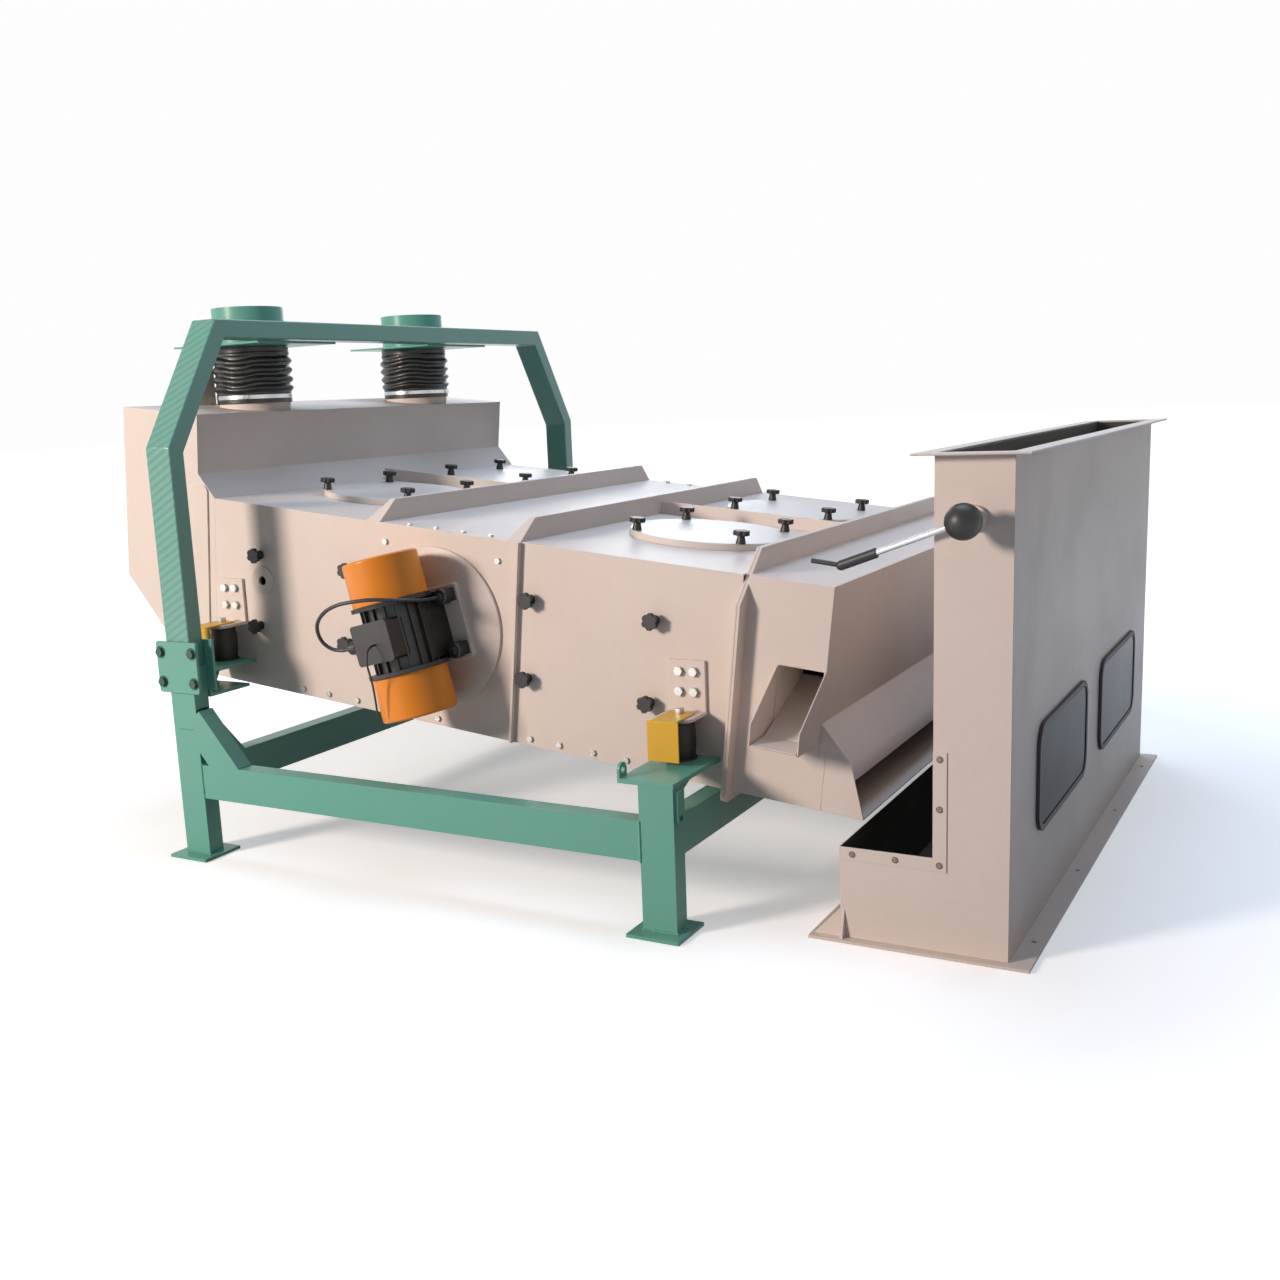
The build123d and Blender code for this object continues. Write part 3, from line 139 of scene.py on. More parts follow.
# %% [markdown]
# Every node in this lesson comes from one method. It takes the node's type, its settings, such
# as a ramp's stops, and the values or links of its inputs, so that a tree reads as a list of
# what it does. Materials, geometry trees and the sky share it.

# %% One method for every node
class Board:
    """A node tree, whose nodes are all made and fed in the same way."""

    def __init__(self, tree):
        self.tree = tree
        self.tree.nodes.clear()

    def node(self, kind, settings=None, inputs=None):
        made = self.tree.nodes.new(kind)
        for key, value in (settings or {}).items():
            if key == "stops":
                set_stops(made.color_ramp, value)
            else:
                setattr(made, key, value)
        for key, value in (inputs or {}).items():
            self.feed(made.inputs[key], value)
        return made

    def feed(self, target, value):
        if isinstance(value, Value):
            value = value.socket
        if isinstance(value, bpy.types.NodeSocket):
            self.tree.links.new(value, target)
        else:
            target.default_value = value


def set_stops(ramp, stops):
    """Gives a colour ramp its grey stops, each a position and a shade."""
    for index, (position, shade) in enumerate(stops):
        stop = ramp.elements[index] if index < 2 else ramp.elements.new(position)
        stop.position = position
        stop.color = (shade, shade, shade, 1)


print("nodes are made by", Board.node.__qualname__)

# %% [markdown]
# Shader arithmetic reads best as arithmetic, so one small class wraps a socket and adds a Math
# node for each operator. The reflected forms let a plain number stand on the left, as in
# 1 - mask.

# %% A value with operators
class Value:
    """A number that changes over the surface, on which operators add Math nodes."""

    def __init__(self, board, socket):
        self.board = board
        self.socket = socket

    def work(self, operation, first, second=None):
        inputs = {0: first} if second is None else {0: first, 1: second}
        made = self.board.node("ShaderNodeMath", {"operation": operation}, inputs)
        return Value(self.board, made.outputs[0])

    def __add__(self, other):
        return self.work("ADD", self, other)

    def __sub__(self, other):
        return self.work("SUBTRACT", self, other)

    def __rsub__(self, other):
        return self.work("SUBTRACT", other, self)

    def __mul__(self, other):
        return self.work("MULTIPLY", self, other)

    def above(self, other):
        return self.work("GREATER_THAN", self, other)

    def most(self, other):
        return self.work("MAXIMUM", self, other)

    def wave(self):
        return self.work("SINE", self)

    __radd__ = __add__
    __rmul__ = __mul__


print("operators ready for", Value.__name__)

# %% [markdown]
# A finish is a material with one Principled shader. Its fixed numbers, such as the coat, are
# set on the shader itself, and what changes over the surface is linked to it. All patterns
# are read from Object coordinates, so that they stay put on the piece.

# %% A finish
class Finish(Board):
    """A material with one Principled shader, built by a few plain calls."""

    sockets = {"colour": "Base Color", "roughness": "Roughness", "normal": "Normal",
               "glow": "Emission Color"}

    def __init__(self, name, **fixed):
        self.material = bpy.data.materials.new(name)
        self.material.use_nodes = True
        super().__init__(self.material.node_tree)
        self.shader = self.node("ShaderNodeBsdfPrincipled", inputs=fixed)
        self.node("ShaderNodeOutputMaterial", inputs={0: self.shader.outputs[0]})
        self.place = self.node("ShaderNodeTexCoord").outputs["Object"]

    def set(self, **links):
        for key, value in links.items():
            self.feed(self.shader.inputs[self.sockets[key]], value)
        return self

    def stretched(self, scale):
        made = self.node("ShaderNodeMapping", inputs={"Vector": self.place, "Scale": scale})
        return made.outputs[0]

    def noise(self, scale, detail=3.0, roughness=0.55, at=None):
        made = self.node("ShaderNodeTexNoise", inputs={"Vector": at or self.place, "Scale": scale,
                                                       "Detail": detail, "Roughness": roughness})
        return Value(self, made.outputs[0])

    def ramp(self, value, *stops):
        made = self.node("ShaderNodeValToRGB", {"stops": stops}, {0: value})
        return Value(self, made.outputs[0])

    def mix(self, share, first, second):
        """A colour mix. Its inputs 6 and 7 are the two colours and its output 2 is their mix."""
        made = self.node("ShaderNodeMix", {"data_type": "RGBA"}, {0: share, 6: first, 7: second})
        return made.outputs[2]

    def bump(self, height, strength, distance, under=None):
        inputs = {"Height": height, "Strength": strength, "Distance": distance}
        if under is not None:
            inputs["Normal"] = under
        return self.node("ShaderNodeBump", inputs=inputs).outputs[0]


def tone(red, green, blue):
    """A screen colour, each part from 0 to 255, as the light it stands for."""
    return tuple(((v / 255 + 0.055) / 1.055) ** 2.4 for v in (red, green, blue)) + (1,)


def paler(colour, share):
    """The same colour with only a share of its light."""
    return tuple(v * share for v in colour[:3]) + (1,)


print("a finish can change", ", ".join(Finish.sockets))

# %% [markdown]
# The sheet steel is sprayed with a warm, pale cream. Close to, such paint has a fine orange
# peel; over a whole panel the thin sheet is never quite flat, so its reflections wander; and
# a machine that has stood outside carries dust in soft patches. Noise at three scales makes
# these. The depths are those of the real thing: less than half a millimetre for the peel.

# %% Paint
peel_depth = 0.0004
sheet_wave_depth = 0.02
dust_colour = tone(176, 166, 150)


def paint(name, colour, roughness, dust, peel, sheet_wave=0.0, coat=0.15):
    """Sprayed paint with its peel, the sheet's waves and patches of dust."""
    finish = Finish(name, **{"Coat Weight": coat, "Coat Roughness": 0.25,
                             "Specular IOR Level": 0.2})
    patches = finish.noise(1.7, 5, 0.6)
    fine = finish.noise(34, 4, 0.65)
    dusty = finish.ramp(patches * 0.7 + fine * 0.3, (0.42, 0.0), (0.70, 1.0)) * dust
    faded = finish.mix(finish.noise(0.9, 2) * 0.5, colour, paler(colour, 0.90))
    finish.set(colour=finish.mix(dusty, faded, dust_colour),
               roughness=dusty * 1.2 + finish.noise(60, 2) * 0.08 + (roughness - 0.04))
    surface = finish.bump(finish.noise(420, 2, 0.5), peel, peel_depth)
    if sheet_wave:
        surface = finish.bump(finish.noise(2.3, 1, 0.4), sheet_wave, sheet_wave_depth, surface)
    return finish.set(normal=surface).material


cream = paint("cream_paint", tone(224, 211, 202), 0.44, 0.14, 0.10, 0.22, 0.05)
cream_thick = paint("cream_paint_on_plate", tone(224, 211, 202), 0.44, 0.16, 0.14, 0.0, 0.05)
lid_paint = paint("lid_paint", tone(214, 206, 200), 0.36, 0.12, 0.10, 0.10)
green = paint("green_paint", tone(97, 164, 147), 0.34, 0.07, 0.16, 0.0, 0.3)
green_dark = paint("green_paint_on_bolts", tone(40, 84, 72), 0.40, 0.10, 0.16)
yellow = paint("yellow_paint", tone(221, 171, 46), 0.40, 0.10, 0.14)
orange = paint("orange_paint", tone(226, 134, 24), 0.36, 0.06, 0.18, 0.0, 0.3)
print(len(bpy.data.materials), "materials with the painted ones")

# %% [markdown]
# The near column of the portal carries slanting, rope-like stripes, lighter than its paint,
# on its side face. A sine wave of the slanted height makes the stripes. They show only where a
# face looks to the front, and only on the near side of the machine, so the far column stays
# plain.

# %% Striped paint of the near column
stripe_pitch = 0.025
stripe_slope = 0.55
stripe_depth = 0.0015
faces_front = 0.6
near_side = 0.8

column_paint = Finish("green_paint_striped", **{"Coat Weight": 0.3, "Coat Roughness": 0.25})
parts = column_paint.node("ShaderNodeSeparateXYZ", inputs={0: column_paint.place})
across, sideways, height = (Value(column_paint, parts.outputs[i]) for i in range(3))
facing = column_paint.node("ShaderNodeSeparateXYZ", inputs={
    0: column_paint.node("ShaderNodeNewGeometry").outputs["Normal"]})
front = Value(column_paint, facing.outputs[1]) * -1
on_front = front.above(faces_front) * (0 - sideways).above(near_side)
stripes = ((height - across * stripe_slope) * (2 * pi / stripe_pitch)).wave() * 0.5 + 0.5
stripes = column_paint.ramp(stripes, (0.25, 0.0), (0.65, 1.0)) * on_front
patches = column_paint.noise(1.7, 5, 0.6)
plain = column_paint.mix(patches * 0.25, tone(84, 142, 128), tone(74, 128, 116))
column_paint.set(colour=column_paint.mix(stripes * 0.45, plain, tone(106, 166, 150)),
                 roughness=stripes * 0.12 + 0.34,
                 normal=column_paint.bump(stripes, 0.35, stripe_depth))
green_striped = column_paint.material
print("stripes every", round(stripe_pitch * 1000), "mm")

# %% [markdown]
# Black things on a machine are never one black. Rubber is dull and dusty on top of its folds,
# moulded knobs shine, and the motors' castings are grainy under a thick coat of paint.

# %% Rubber, knobs and castings
def dark(name, colour, roughness, grain, depth, dust, **fixed):
    """A dark, grainy finish. The grain is how many lie in a metre, and its depth is in metres."""
    finish = Finish(name, **fixed)
    patches = finish.noise(9, 5, 0.6)
    dusty = finish.ramp(patches, (0.45, 0.0), (0.75, 1.0)) * dust
    finish.set(colour=finish.mix(dusty, colour, tone(120, 112, 102)),
               roughness=dusty * 0.6 + finish.noise(40, 2) * 0.12 + (roughness - 0.06),
               normal=finish.bump(finish.noise(grain, 3, 0.6), 0.35, depth))
    return finish.material


rubber = dark("black_rubber", tone(22, 22, 23), 0.62, 260, 0.0006, 0.12)
sleeve_rubber = dark("sleeve_rubber", tone(15, 16, 15), 0.42, 180, 0.0008, 0.05,
                     **{"Coat Weight": 0.2})
knob_plastic = dark("knob_plastic", tone(14, 14, 15), 0.42, 500, 0.0002, 0.03)
casting = dark("painted_casting", tone(19, 20, 19), 0.40, 140, 0.0012, 0.08)
lead_sheath = dark("lead_sheath", tone(18, 18, 18), 0.42, 300, 0.0003, 0.05)
# The dark colour of this sheet is painted shade, the shade inside the air channel; its lighter
# patches are dust.
shaded_inside_sheet = dark("bare_dark_sheet", tone(46, 44, 40), 0.60, 120, 0.0006, 0.30)
print(len(bpy.data.materials), "materials with the dark ones")

# %% [markdown]
# Bolts are plated, the screws along the channel's mouth are stained, the lever is drawn bar
# and the rotors are turned. All four are one recipe: fine grain, stretched the way the tool
# went, with stains over it.

# %% Bare metal
metal_grain_depth = 0.0003


def metal(name, colour, roughness, stretched):
    """Bare metal with its grain squeezed or stretched along X, Y and Z."""
    finish = Finish(name, **{"Metallic": 1.0})
    drawn = finish.noise(90, 3, 0.6, finish.stretched(stretched))
    stain = finish.ramp(finish.noise(14, 4, 0.6), (0.48, 0.0), (0.78, 1.0))
    finish.set(colour=finish.mix(stain * 0.35, colour, tone(128, 118, 104)),
               roughness=drawn * 0.22 + stain * 0.15 + (roughness - 0.11),
               normal=finish.bump(drawn, 0.25, metal_grain_depth))
    return finish.material


zinc = metal("zinc_plate", tone(186, 186, 184), 0.36, (1, 1, 1))
worn_steel = metal("worn_steel", tone(120, 108, 96), 0.45, (1, 1, 1))
drawn_steel = metal("drawn_steel", tone(196, 197, 199), 0.26, (0.15, 1, 1))
rotor_steel = metal("machined_steel", tone(150, 150, 150), 0.35, (1, 1, 0.1))
print(len(bpy.data.materials), "materials with the metals")

# %% [markdown]
# The channel's two windows are dark safety glass in a black rubber section. Behind them is an
# unlit shaft, so the glass reads as a deep grey mirror, and it is made as a smeared, smooth
# dark face.

# %% Window glass
glass_finish = Finish("window_glass", **{"IOR": 1.15, "Specular IOR Level": 0.1})
smear = glass_finish.noise(5, 4, 0.6)
glass_finish.set(colour=glass_finish.mix(smear * 0.5, tone(44, 46, 46), tone(74, 74, 70)),
                 roughness=smear * 0.14 + 0.10)
glass = glass_finish.material
print("made", glass.name)

# %% [markdown]
# The screens inside are wooden frames with perforated sheet. They show only when the covers
# are lifted, so the holes are drawn: a cell pattern dents each one and darkens it with painted
# shade, the shade seen through a hole.

# %% Wood and perforated sheet
hole_pitch = 0.012
hole_depth = 0.002
screen_finish = Finish("perforated_screen")
holes = screen_finish.node("ShaderNodeTexVoronoi", {"feature": "F1"}, {
    "Vector": screen_finish.place, "Scale": 1 / hole_pitch, "Randomness": 0.0})
open_here = screen_finish.ramp(Value(screen_finish, holes.outputs[0]), (0.30, 1.0), (0.36, 0.0))
grain = screen_finish.noise(12, 5, 0.6, screen_finish.stretched((1, 14, 1)))
wood = screen_finish.mix(grain, tone(166, 150, 126), tone(190, 176, 150))
# The dark colour in each hole is painted shade, the shade seen through it.
screen_finish.set(colour=screen_finish.mix(open_here, wood, tone(34, 30, 26)),
                  roughness=open_here * 0.3 + 0.45,
                  normal=screen_finish.bump(open_here * -1, 0.5, hole_depth))
screen_sheet = screen_finish.material
print("holes every", round(hole_pitch * 1000), "mm")

# %% [markdown]
# Real edges are never razor sharp: tube has rolled corners and sheet has a folded or filed
# edge, and the thin line of light along each is what makes a solid look made. Each solid is
# copied, its loose triangles are welded and its flat faces joined, and a Bevel modifier then
# rounds every corner. The copy stands for the solid, which stays as it was. What lies inside,
# such as the rotors, needs no rounding and keeps its solid.

# %% Rounded copies of the solids
sharp_from = radians(32)
flat_within = radians(0.4)
weld_within = 0.00002
rounding_steps = 2


def clean_mesh(source, name):
    """A welded copy of a solid's mesh, with its flat faces joined."""
    mesh = source.data.copy()
    mesh.name = name
    for layer in ("custom_normal", "sharp_face", "sharp_edge"):
        if layer in mesh.attributes:
            mesh.attributes.remove(mesh.attributes[layer])
    shape = bmesh.new()
    shape.from_mesh(mesh)
    bmesh.ops.remove_doubles(shape, verts=shape.verts, dist=weld_within)
    bmesh.ops.dissolve_limit(shape, angle_limit=flat_within, verts=shape.verts, edges=shape.edges)
    for face in shape.faces:
        face.smooth = True
    shape.to_mesh(mesh)
    shape.free()
    return mesh


def finish_with(piece, *materials):
    """Gives a piece these materials and no others."""
    piece.data.materials.clear()
    for material in materials:
        piece.data.materials.append(material)


def small_shells(mesh, limit):
    """Indices of the faces that belong to separate shells smaller than the limit."""
    shape = bmesh.new()
    shape.from_mesh(mesh)
    shape.faces.ensure_lookup_table()
    waiting = set(range(len(shape.faces)))
    found = []
    while waiting:
        edge = [waiting.pop()]
        group = list(edge)
        while edge:
            for link in shape.faces[edge.pop()].edges:
                for face in link.link_faces:
                    if face.index in waiting:
                        waiting.remove(face.index)
                        edge.append(face.index)
                        group.append(face.index)
        corners = [v.co for index in group for v in shape.faces[index].verts]
        span = max(max(c[i] for c in corners) - min(c[i] for c in corners) for i in range(3))
        if span < limit:
            found += group
    shape.free()
    return found


def recolour(piece, material, faces):
    """Gives some faces of a piece a second finish."""
    piece.data.materials.append(material)
    for index in faces:
        piece.data.polygons[index].material_index = len(piece.data.materials) - 1


def dress(node, material, rounding):
    """Gives a solid its finish, on a copy with rounded edges where a rounding is asked for."""
    source = frame["nodes"][node]
    if not rounding:
        finish_with(source, material)
        return source
    mesh = clean_mesh(source, f"{node}_made")
    piece = bpy.data.objects.new(f"{node}_made", mesh)
    bpy.context.scene.collection.objects.link(piece)
    finish_with(piece, material)
    bevel = piece.modifiers.new("rounded", "BEVEL")
    bevel.width = rounding
    bevel.segments = rounding_steps
    bevel.limit_method = "ANGLE"
    bevel.angle_limit = sharp_from
    bevel.miter_outer = "MITER_ARC"
    bevel.harden_normals = True
    piece.modifiers.new("even_shading", "WEIGHTED_NORMAL").keep_sharp = True
    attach(piece, source["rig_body"])
    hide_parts(node)
    return piece


print("edges sharper than", round(sharp_from * 180 / pi), "degrees are rounded")

# %% [markdown]
# Each kind of stock has its own rounding: thin sheet a fine one, plate twice that, rolled tube
# a broad one.

# %% Dressing the solids
sheet_edge = 0.0009
plate_edge = 0.0018
tube_edge = 0.006

dressing = {
    "base_frame": (green, tube_edge), "inlet_portal": (green_striped, tube_edge),
    "splice_plates": (green, plate_edge), "inlet_spring_shelves": (green, plate_edge),
    "feed_spouts": (green, sheet_edge), "splice_bolts": (green_dark, 0.0008),
    "channel_shell": (cream, sheet_edge), "channel_base_flange": (cream_thick, plate_edge),
    "channel_top_flange": (cream_thick, plate_edge), "mouth_trims": (cream_thick, 0.0006),
    "window_seals": (rubber, 0.002), "window_panes": (glass, 0.0004),
    "inlet_box": (cream, sheet_edge), "floor_pan": (cream, sheet_edge),
    "top_panel_inlet": (cream, sheet_edge), "top_panel_middle": (cream, sheet_edge),
    "top_panel_outlet": (cream, sheet_edge), "end_flange": (cream_thick, plate_edge),
    "outlet_box": (cream, sheet_edge),
    "upper_screen": (screen_sheet, 0), "lower_screen": (screen_sheet, 0),
    "screen_clamp_knobs": (knob_plastic, 0.0016), "panel_screws": (zinc, 0.0006),
    "bracket_bolts": (zinc, 0.0008), "valve_flap": (cream_thick, 0),
    "valve_lever": (drawn_steel, 0.0012), "valve_grip": (knob_plastic, 0.003),
    "valve_lock_knob": (knob_plastic, 0.002),
    "spring_brackets": (cream_thick, plate_edge), "spring_guards": (yellow, plate_edge),
    "sleeve_clamps": (drawn_steel, 0.0006),
}
for side in ("near", "far"):
    dressing[f"side_panel_{side}"] = (cream, sheet_edge)
    dressing[f"motor_disc_{side}"] = (cream_thick, plate_edge)
    dressing[f"motor_body_{side}"] = (casting, 0.0015)
    dressing[f"motor_covers_{side}"] = (orange, plate_edge)
    dressing[f"motor_rotor_{side}"] = (rotor_steel, 0)
    dressing[f"motor_nuts_{side}"] = (knob_plastic, 0.0014)
    for end in ("inlet", "outlet"):
        dressing[f"hatch_cover_{end}_{side}"] = (lid_paint, sheet_edge)
        dressing[f"hatch_knobs_{end}_{side}"] = (knob_plastic, 0.0016)
dressed = {node: dress(node, *how) for node, how in dressing.items()}
print(len(dressed), "solids dressed")

# %% [markdown]
# Two solids need a second finish. The air channel's inner faces are dusty sheet, darkened with
# painted shade for the shade inside the channel; and the screws along its mouth are bare steel
# in a painted strip.

# %% Second finishes
shell_low, shell_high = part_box("channel_shell")
channel_half = 1.020    # from the middle to the outside of an end wall
channel_back = 0.183    # from the outer face to the wall that meets the sieve
hopper_top = 0.247      # the rim of the hopper, where that wall begins
skin = 0.0035           # a little less than the sheet's thickness
same_plane = 0.001
screw_span = 0.03       # larger shells in the trims are the strips themselves


def hopper_skin(face):
    """Whether a face is on the outside of the channel's sieve-side wall, or the hopper's rim."""
    wall = shell_high.x - channel_back
    return abs(face.center.x - wall) < same_plane and face.center.z > hopper_top - skin


# The channel's inner faces, which get the sheet with painted shade.
inner = [face.index for face in dressed["channel_shell"].data.polygons
         if abs(face.center.y) < channel_half - skin
         and shell_low.x + skin < face.center.x < shell_high.x - skin
         and face.center.z < shell_high.z - skin and not hopper_skin(face)]
recolour(dressed["channel_shell"], shaded_inside_sheet, inner)
trims = dressed["mouth_trims"]
recolour(trims, worn_steel, small_shells(trims.data, screw_span))
print(len(inner), "inner faces of the channel")

# %% [markdown]
# A rubber spring is a thick-walled block bonded between two steel washers. Under the load it
# bulges, and moulding leaves a line round its middle. A short profile turned round the axis
# gives all three, and its steel washers are part of the same turned shape.

# %% Turned shapes
crease_from = radians(40)


def turned(name, centre, profile, bands, materials, steps):
    """A closed shape from (radius, height) points turned about a vertical axis.

    The bands say which of the materials is on the face between two points.
    """
    shape = bmesh.new()
    rings = []
    for radius, height in profile:
        ring = []
        for step in range(steps):
            angle = 2 * pi * step / steps
            ring.append(shape.verts.new((centre[0] + radius * cos(angle),
                                         centre[1] + radius * sin(angle), height)))
        rings.append(ring)
    for index, (low, high) in enumerate(zip(rings, rings[1:])):
        for step in range(steps):
            after = (step + 1) % steps
            face = shape.faces.new((low[step], low[after], high[after], high[step]))
            face.smooth = True
            face.material_index = bands[index]
    for ring, flip in ((rings[0], True), (rings[-1], False)):
        face = shape.faces.new(list(reversed(ring)) if flip else ring)
        face.material_index = bands[0]
    bmesh.ops.recalc_face_normals(shape, faces=shape.faces)
    mesh = bpy.data.meshes.new(name)
    shape.to_mesh(mesh)
    shape.free()
    mesh.set_sharp_from_angle(angle=crease_from)
    piece = bpy.data.objects.new(name, mesh)
    bpy.context.scene.collection.objects.link(piece)
    finish_with(piece, *materials)
    return piece


print("edges sharper than", round(crease_from * 180 / pi), "degrees stay crisp")

# %% Rubber springs
washer = 0.005          # thickness of the steel washer at each end
spring_waist = 0.86     # the rubber's radius at its ends, as a share of the washer's
spring_bulge = 0.115    # how much more it is at mid-height
bulge_fullness = 0.6    # below 1 the bulge is flatter at its middle
mould_line = 0.0012
spring_rings = 22
spring_sides = 48


def rubber_spring(node):
    low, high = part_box(node)
    centre = (low + high) / 2
    r = (high.x - low.x) / 2
    z0, z1 = low.z, high.z
    profile = [(r, z0), (r, z0 + washer)]
    bands = [1]
    for step in range(spring_rings + 1):
        share = step / spring_rings
        z = z0 + washer + share * (z1 - z0 - 2 * washer)
        bulge = sin(pi * share) ** bulge_fullness
        line = mould_line if step == spring_rings // 2 else 0
        profile.append((r * (spring_waist + spring_bulge * bulge) + line, z))
        bands.append(0)
    profile += [(r, z1 - washer), (r, z1)]
    bands += [1, 1]
    made = turned(f"{node}_made", centre, profile, bands, (rubber, zinc), spring_sides)
    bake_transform(made)
    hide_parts(node)


for end in ("inlet", "outlet"):
    for side in ("near", "far"):
        rubber_spring(f"spring_{end}_{side}")
print("spring rubber between washers of", round(washer * 1000), "mm")

# %% [markdown]
# The feed sleeves are thin rubber gathered into soft, uneven folds between the spout and the
# collar, like a sleeve pushed up an arm. Each fold is a wave of the radius. The folds wander
# up and down round the sleeve and differ in depth, which seeded noise gives, and the two cuffs
# stay round where the spout and the strap hold them.

# %% Folds of a sleeve
sleeve_folds = 6
fold_depth = 0.020
fold_difference = 0.006   # how much deeper or shallower a fold may be
fold_fullness = 0.7       # below 1 a fold is round outside and sharp in its groove
fold_wander = 0.55        # how far a fold climbs round the sleeve, in folds
pucker_depth = 0.0035     # small upright creases in the gathered rubber
cuff_depth = 0.010        # how far the straps pull the cuffs in
box_inset = 0.0005        # keeps the highest fold inside the solid's box
sleeve_wall = 0.004
stub_radius = 0.1235


def sleeve_radius(outer, way, share, held, seed):
    """The outer radius in one direction, at a share of the height, where folds press it in.

    The higher a noise's factor, the finer its pattern: drift, then crease, then pucker.
    """
    drift = noise.noise(way * 1.1 + Vector((0, 0, seed))) * fold_wander
    crease = noise.noise(Vector((way.x * 2.2, way.y * 2.2, share * 5 + seed)))
    fold = abs(sin(pi * (share * sleeve_folds + drift))) ** fold_fullness
    depth = fold_depth + fold_difference * crease
    radius = outer - box_inset - held * depth * (1 - fold) - (1 - held) * cuff_depth
    pucker = noise.noise(way * 6 + Vector((0, 0, share * 9 + seed)))
    radius -= held * pucker_depth * (0.5 + 0.5 * pucker)
    return max(min(radius, outer - box_inset), stub_radius + sleeve_wall)


print(sleeve_folds, "folds in a sleeve")

# %% Gathered sleeves
sleeve_steps = 120
sleeve_rings = 110
cuff = 0.030
top_cuff = 0.016
cuff_ease = 0.02          # height over which the folds begin beside a cuff


def gathered_sleeve(node, seed):
    low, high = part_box(node)
    centre = (low + high) / 2
    outer = (high.x - low.x) / 2
    shape = bmesh.new()
    grids = []
    for wall in (0, sleeve_wall):
        rings = []
        for ring in range(sleeve_rings + 1):
            share = ring / sleeve_rings
            z = low.z + share * (high.z - low.z)
            held = min(1, max(0, (z - low.z - cuff) / cuff_ease))
            held *= min(1, max(0, (high.z - top_cuff - z) / cuff_ease))
            points = []
            for step in range(sleeve_steps):
                angle = 2 * pi * step / sleeve_steps
                way = Vector((cos(angle), sin(angle), 0))
                radius = sleeve_radius(outer, way, share, held, seed) - wall
                points.append(shape.verts.new((centre.x + radius * way.x,
                                               centre.y + radius * way.y, z)))
            rings.append(points)
        grids.append(rings)
    for which, rings in enumerate(grids):
        for first, second in zip(rings, rings[1:]):
            for step in range(sleeve_steps):
                after = (step + 1) % sleeve_steps
                corners = (first[step], first[after], second[after], second[step])
                shape.faces.new(corners if which == 0 else tuple(reversed(corners)))
    for edge in (0, -1):
        outside, inside = grids[0][edge], grids[1][edge]
        for step in range(sleeve_steps):
            after = (step + 1) % sleeve_steps
            shape.faces.new((outside[step], inside[step], inside[after], outside[after]))
    bmesh.ops.recalc_face_normals(shape, faces=shape.faces)
    for face in shape.faces:
        face.smooth = True
    mesh = bpy.data.meshes.new(f"{node}_made")
    shape.to_mesh(mesh)
    shape.free()
    made = bpy.data.objects.new(f"{node}_made", mesh)
    bpy.context.scene.collection.objects.link(made)
    finish_with(made, sleeve_rubber)
    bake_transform(made)
    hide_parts(node)


gathered_sleeve("feed_sleeve_near", 3.1)
gathered_sleeve("feed_sleeve_far", 8.7)
print("sleeves of", sleeve_rings, "rings")

# %% [markdown]
# Two leads leave the near motor's terminal box. The thick one comes out of its gland, swings
# up over the edge of the upper cover and ends on a capped nut as its earth tail; the thin one
# hangs loose with a bare end. Each is a NURBS spline of order three whose control points are
# the route's corners, so it bends as a lead does. The points are chosen in the motor's own
# frame, in millimetres from the middle of its disc, and the upright axis is the rotor's.

# %% Leads
joints = {joint["name"]: joint for joint in frame["joints"]}
motor_seat = Vector(joints["motor_angle_near"]["pos_m"])
motor_up = Vector(joints["motor_spin_near"]["axis"])
motor_side = Vector((0, 1, 0)).cross(motor_up)


def on_motor(x, y, z):
    """A place in the motor's own frame, given in millimetres, as a place in the world."""
    return motor_seat + (motor_side * x + Vector((0, 1, 0)) * y + motor_up * z) * 0.001


def lead(name, node, route, diameter):
    data = bpy.data.curves.new(name, "CURVE")
    data.dimensions = "3D"
    data.bevel_depth = diameter / 2
    data.bevel_resolution = 5
    data.resolution_u = 10
    data.use_fill_caps = True
    spline = data.splines.new("NURBS")
    spline.points.add(len(route) - 1)
    for point, place in zip(spline.points, route):
        point.co = (*on_motor(*place), 1)
    spline.order_u = 3
    spline.use_endpoint_u = True
    made = bpy.data.objects.new(name, data)
    bpy.context.scene.collection.objects.link(made)
    data.materials.append(lead_sheath)
    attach(made, "motor_near")
    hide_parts(node)
    on_motor(*route[0])


thick_route = [(-102, -277, 0), (-146, -277, 0), (-178, -297, 34), (-158, -327, 86),
               (-106, -342, 118), (-50, -340, 130), (6, -330, 126), (62, -310, 118),
               (113, -254, 96), (117, -159.3, 80), (117, -99.3, 80)]
thin_route = [(8, -294, -6), (8, -328, -6), (2, -342, -52), (-14, -320, -98),
              (-30, -306, -150), (-44, -300, -204)]
lead("thick_lead", "motor_lead", thick_route, 0.011)
lead("thin_lead", "motor_thin_lead", thin_route, 0.006)
print("leads through", len(thick_route), "and", len(thin_route), "points")

# %% [markdown]
# Washers and weld beads repeat by the dozen, which is work for Geometry Nodes. A small class
# builds a tree with named sizes; the tree ends in Realize Instances and Set Material, and its
# result is turned into a plain mesh that rides on one body.

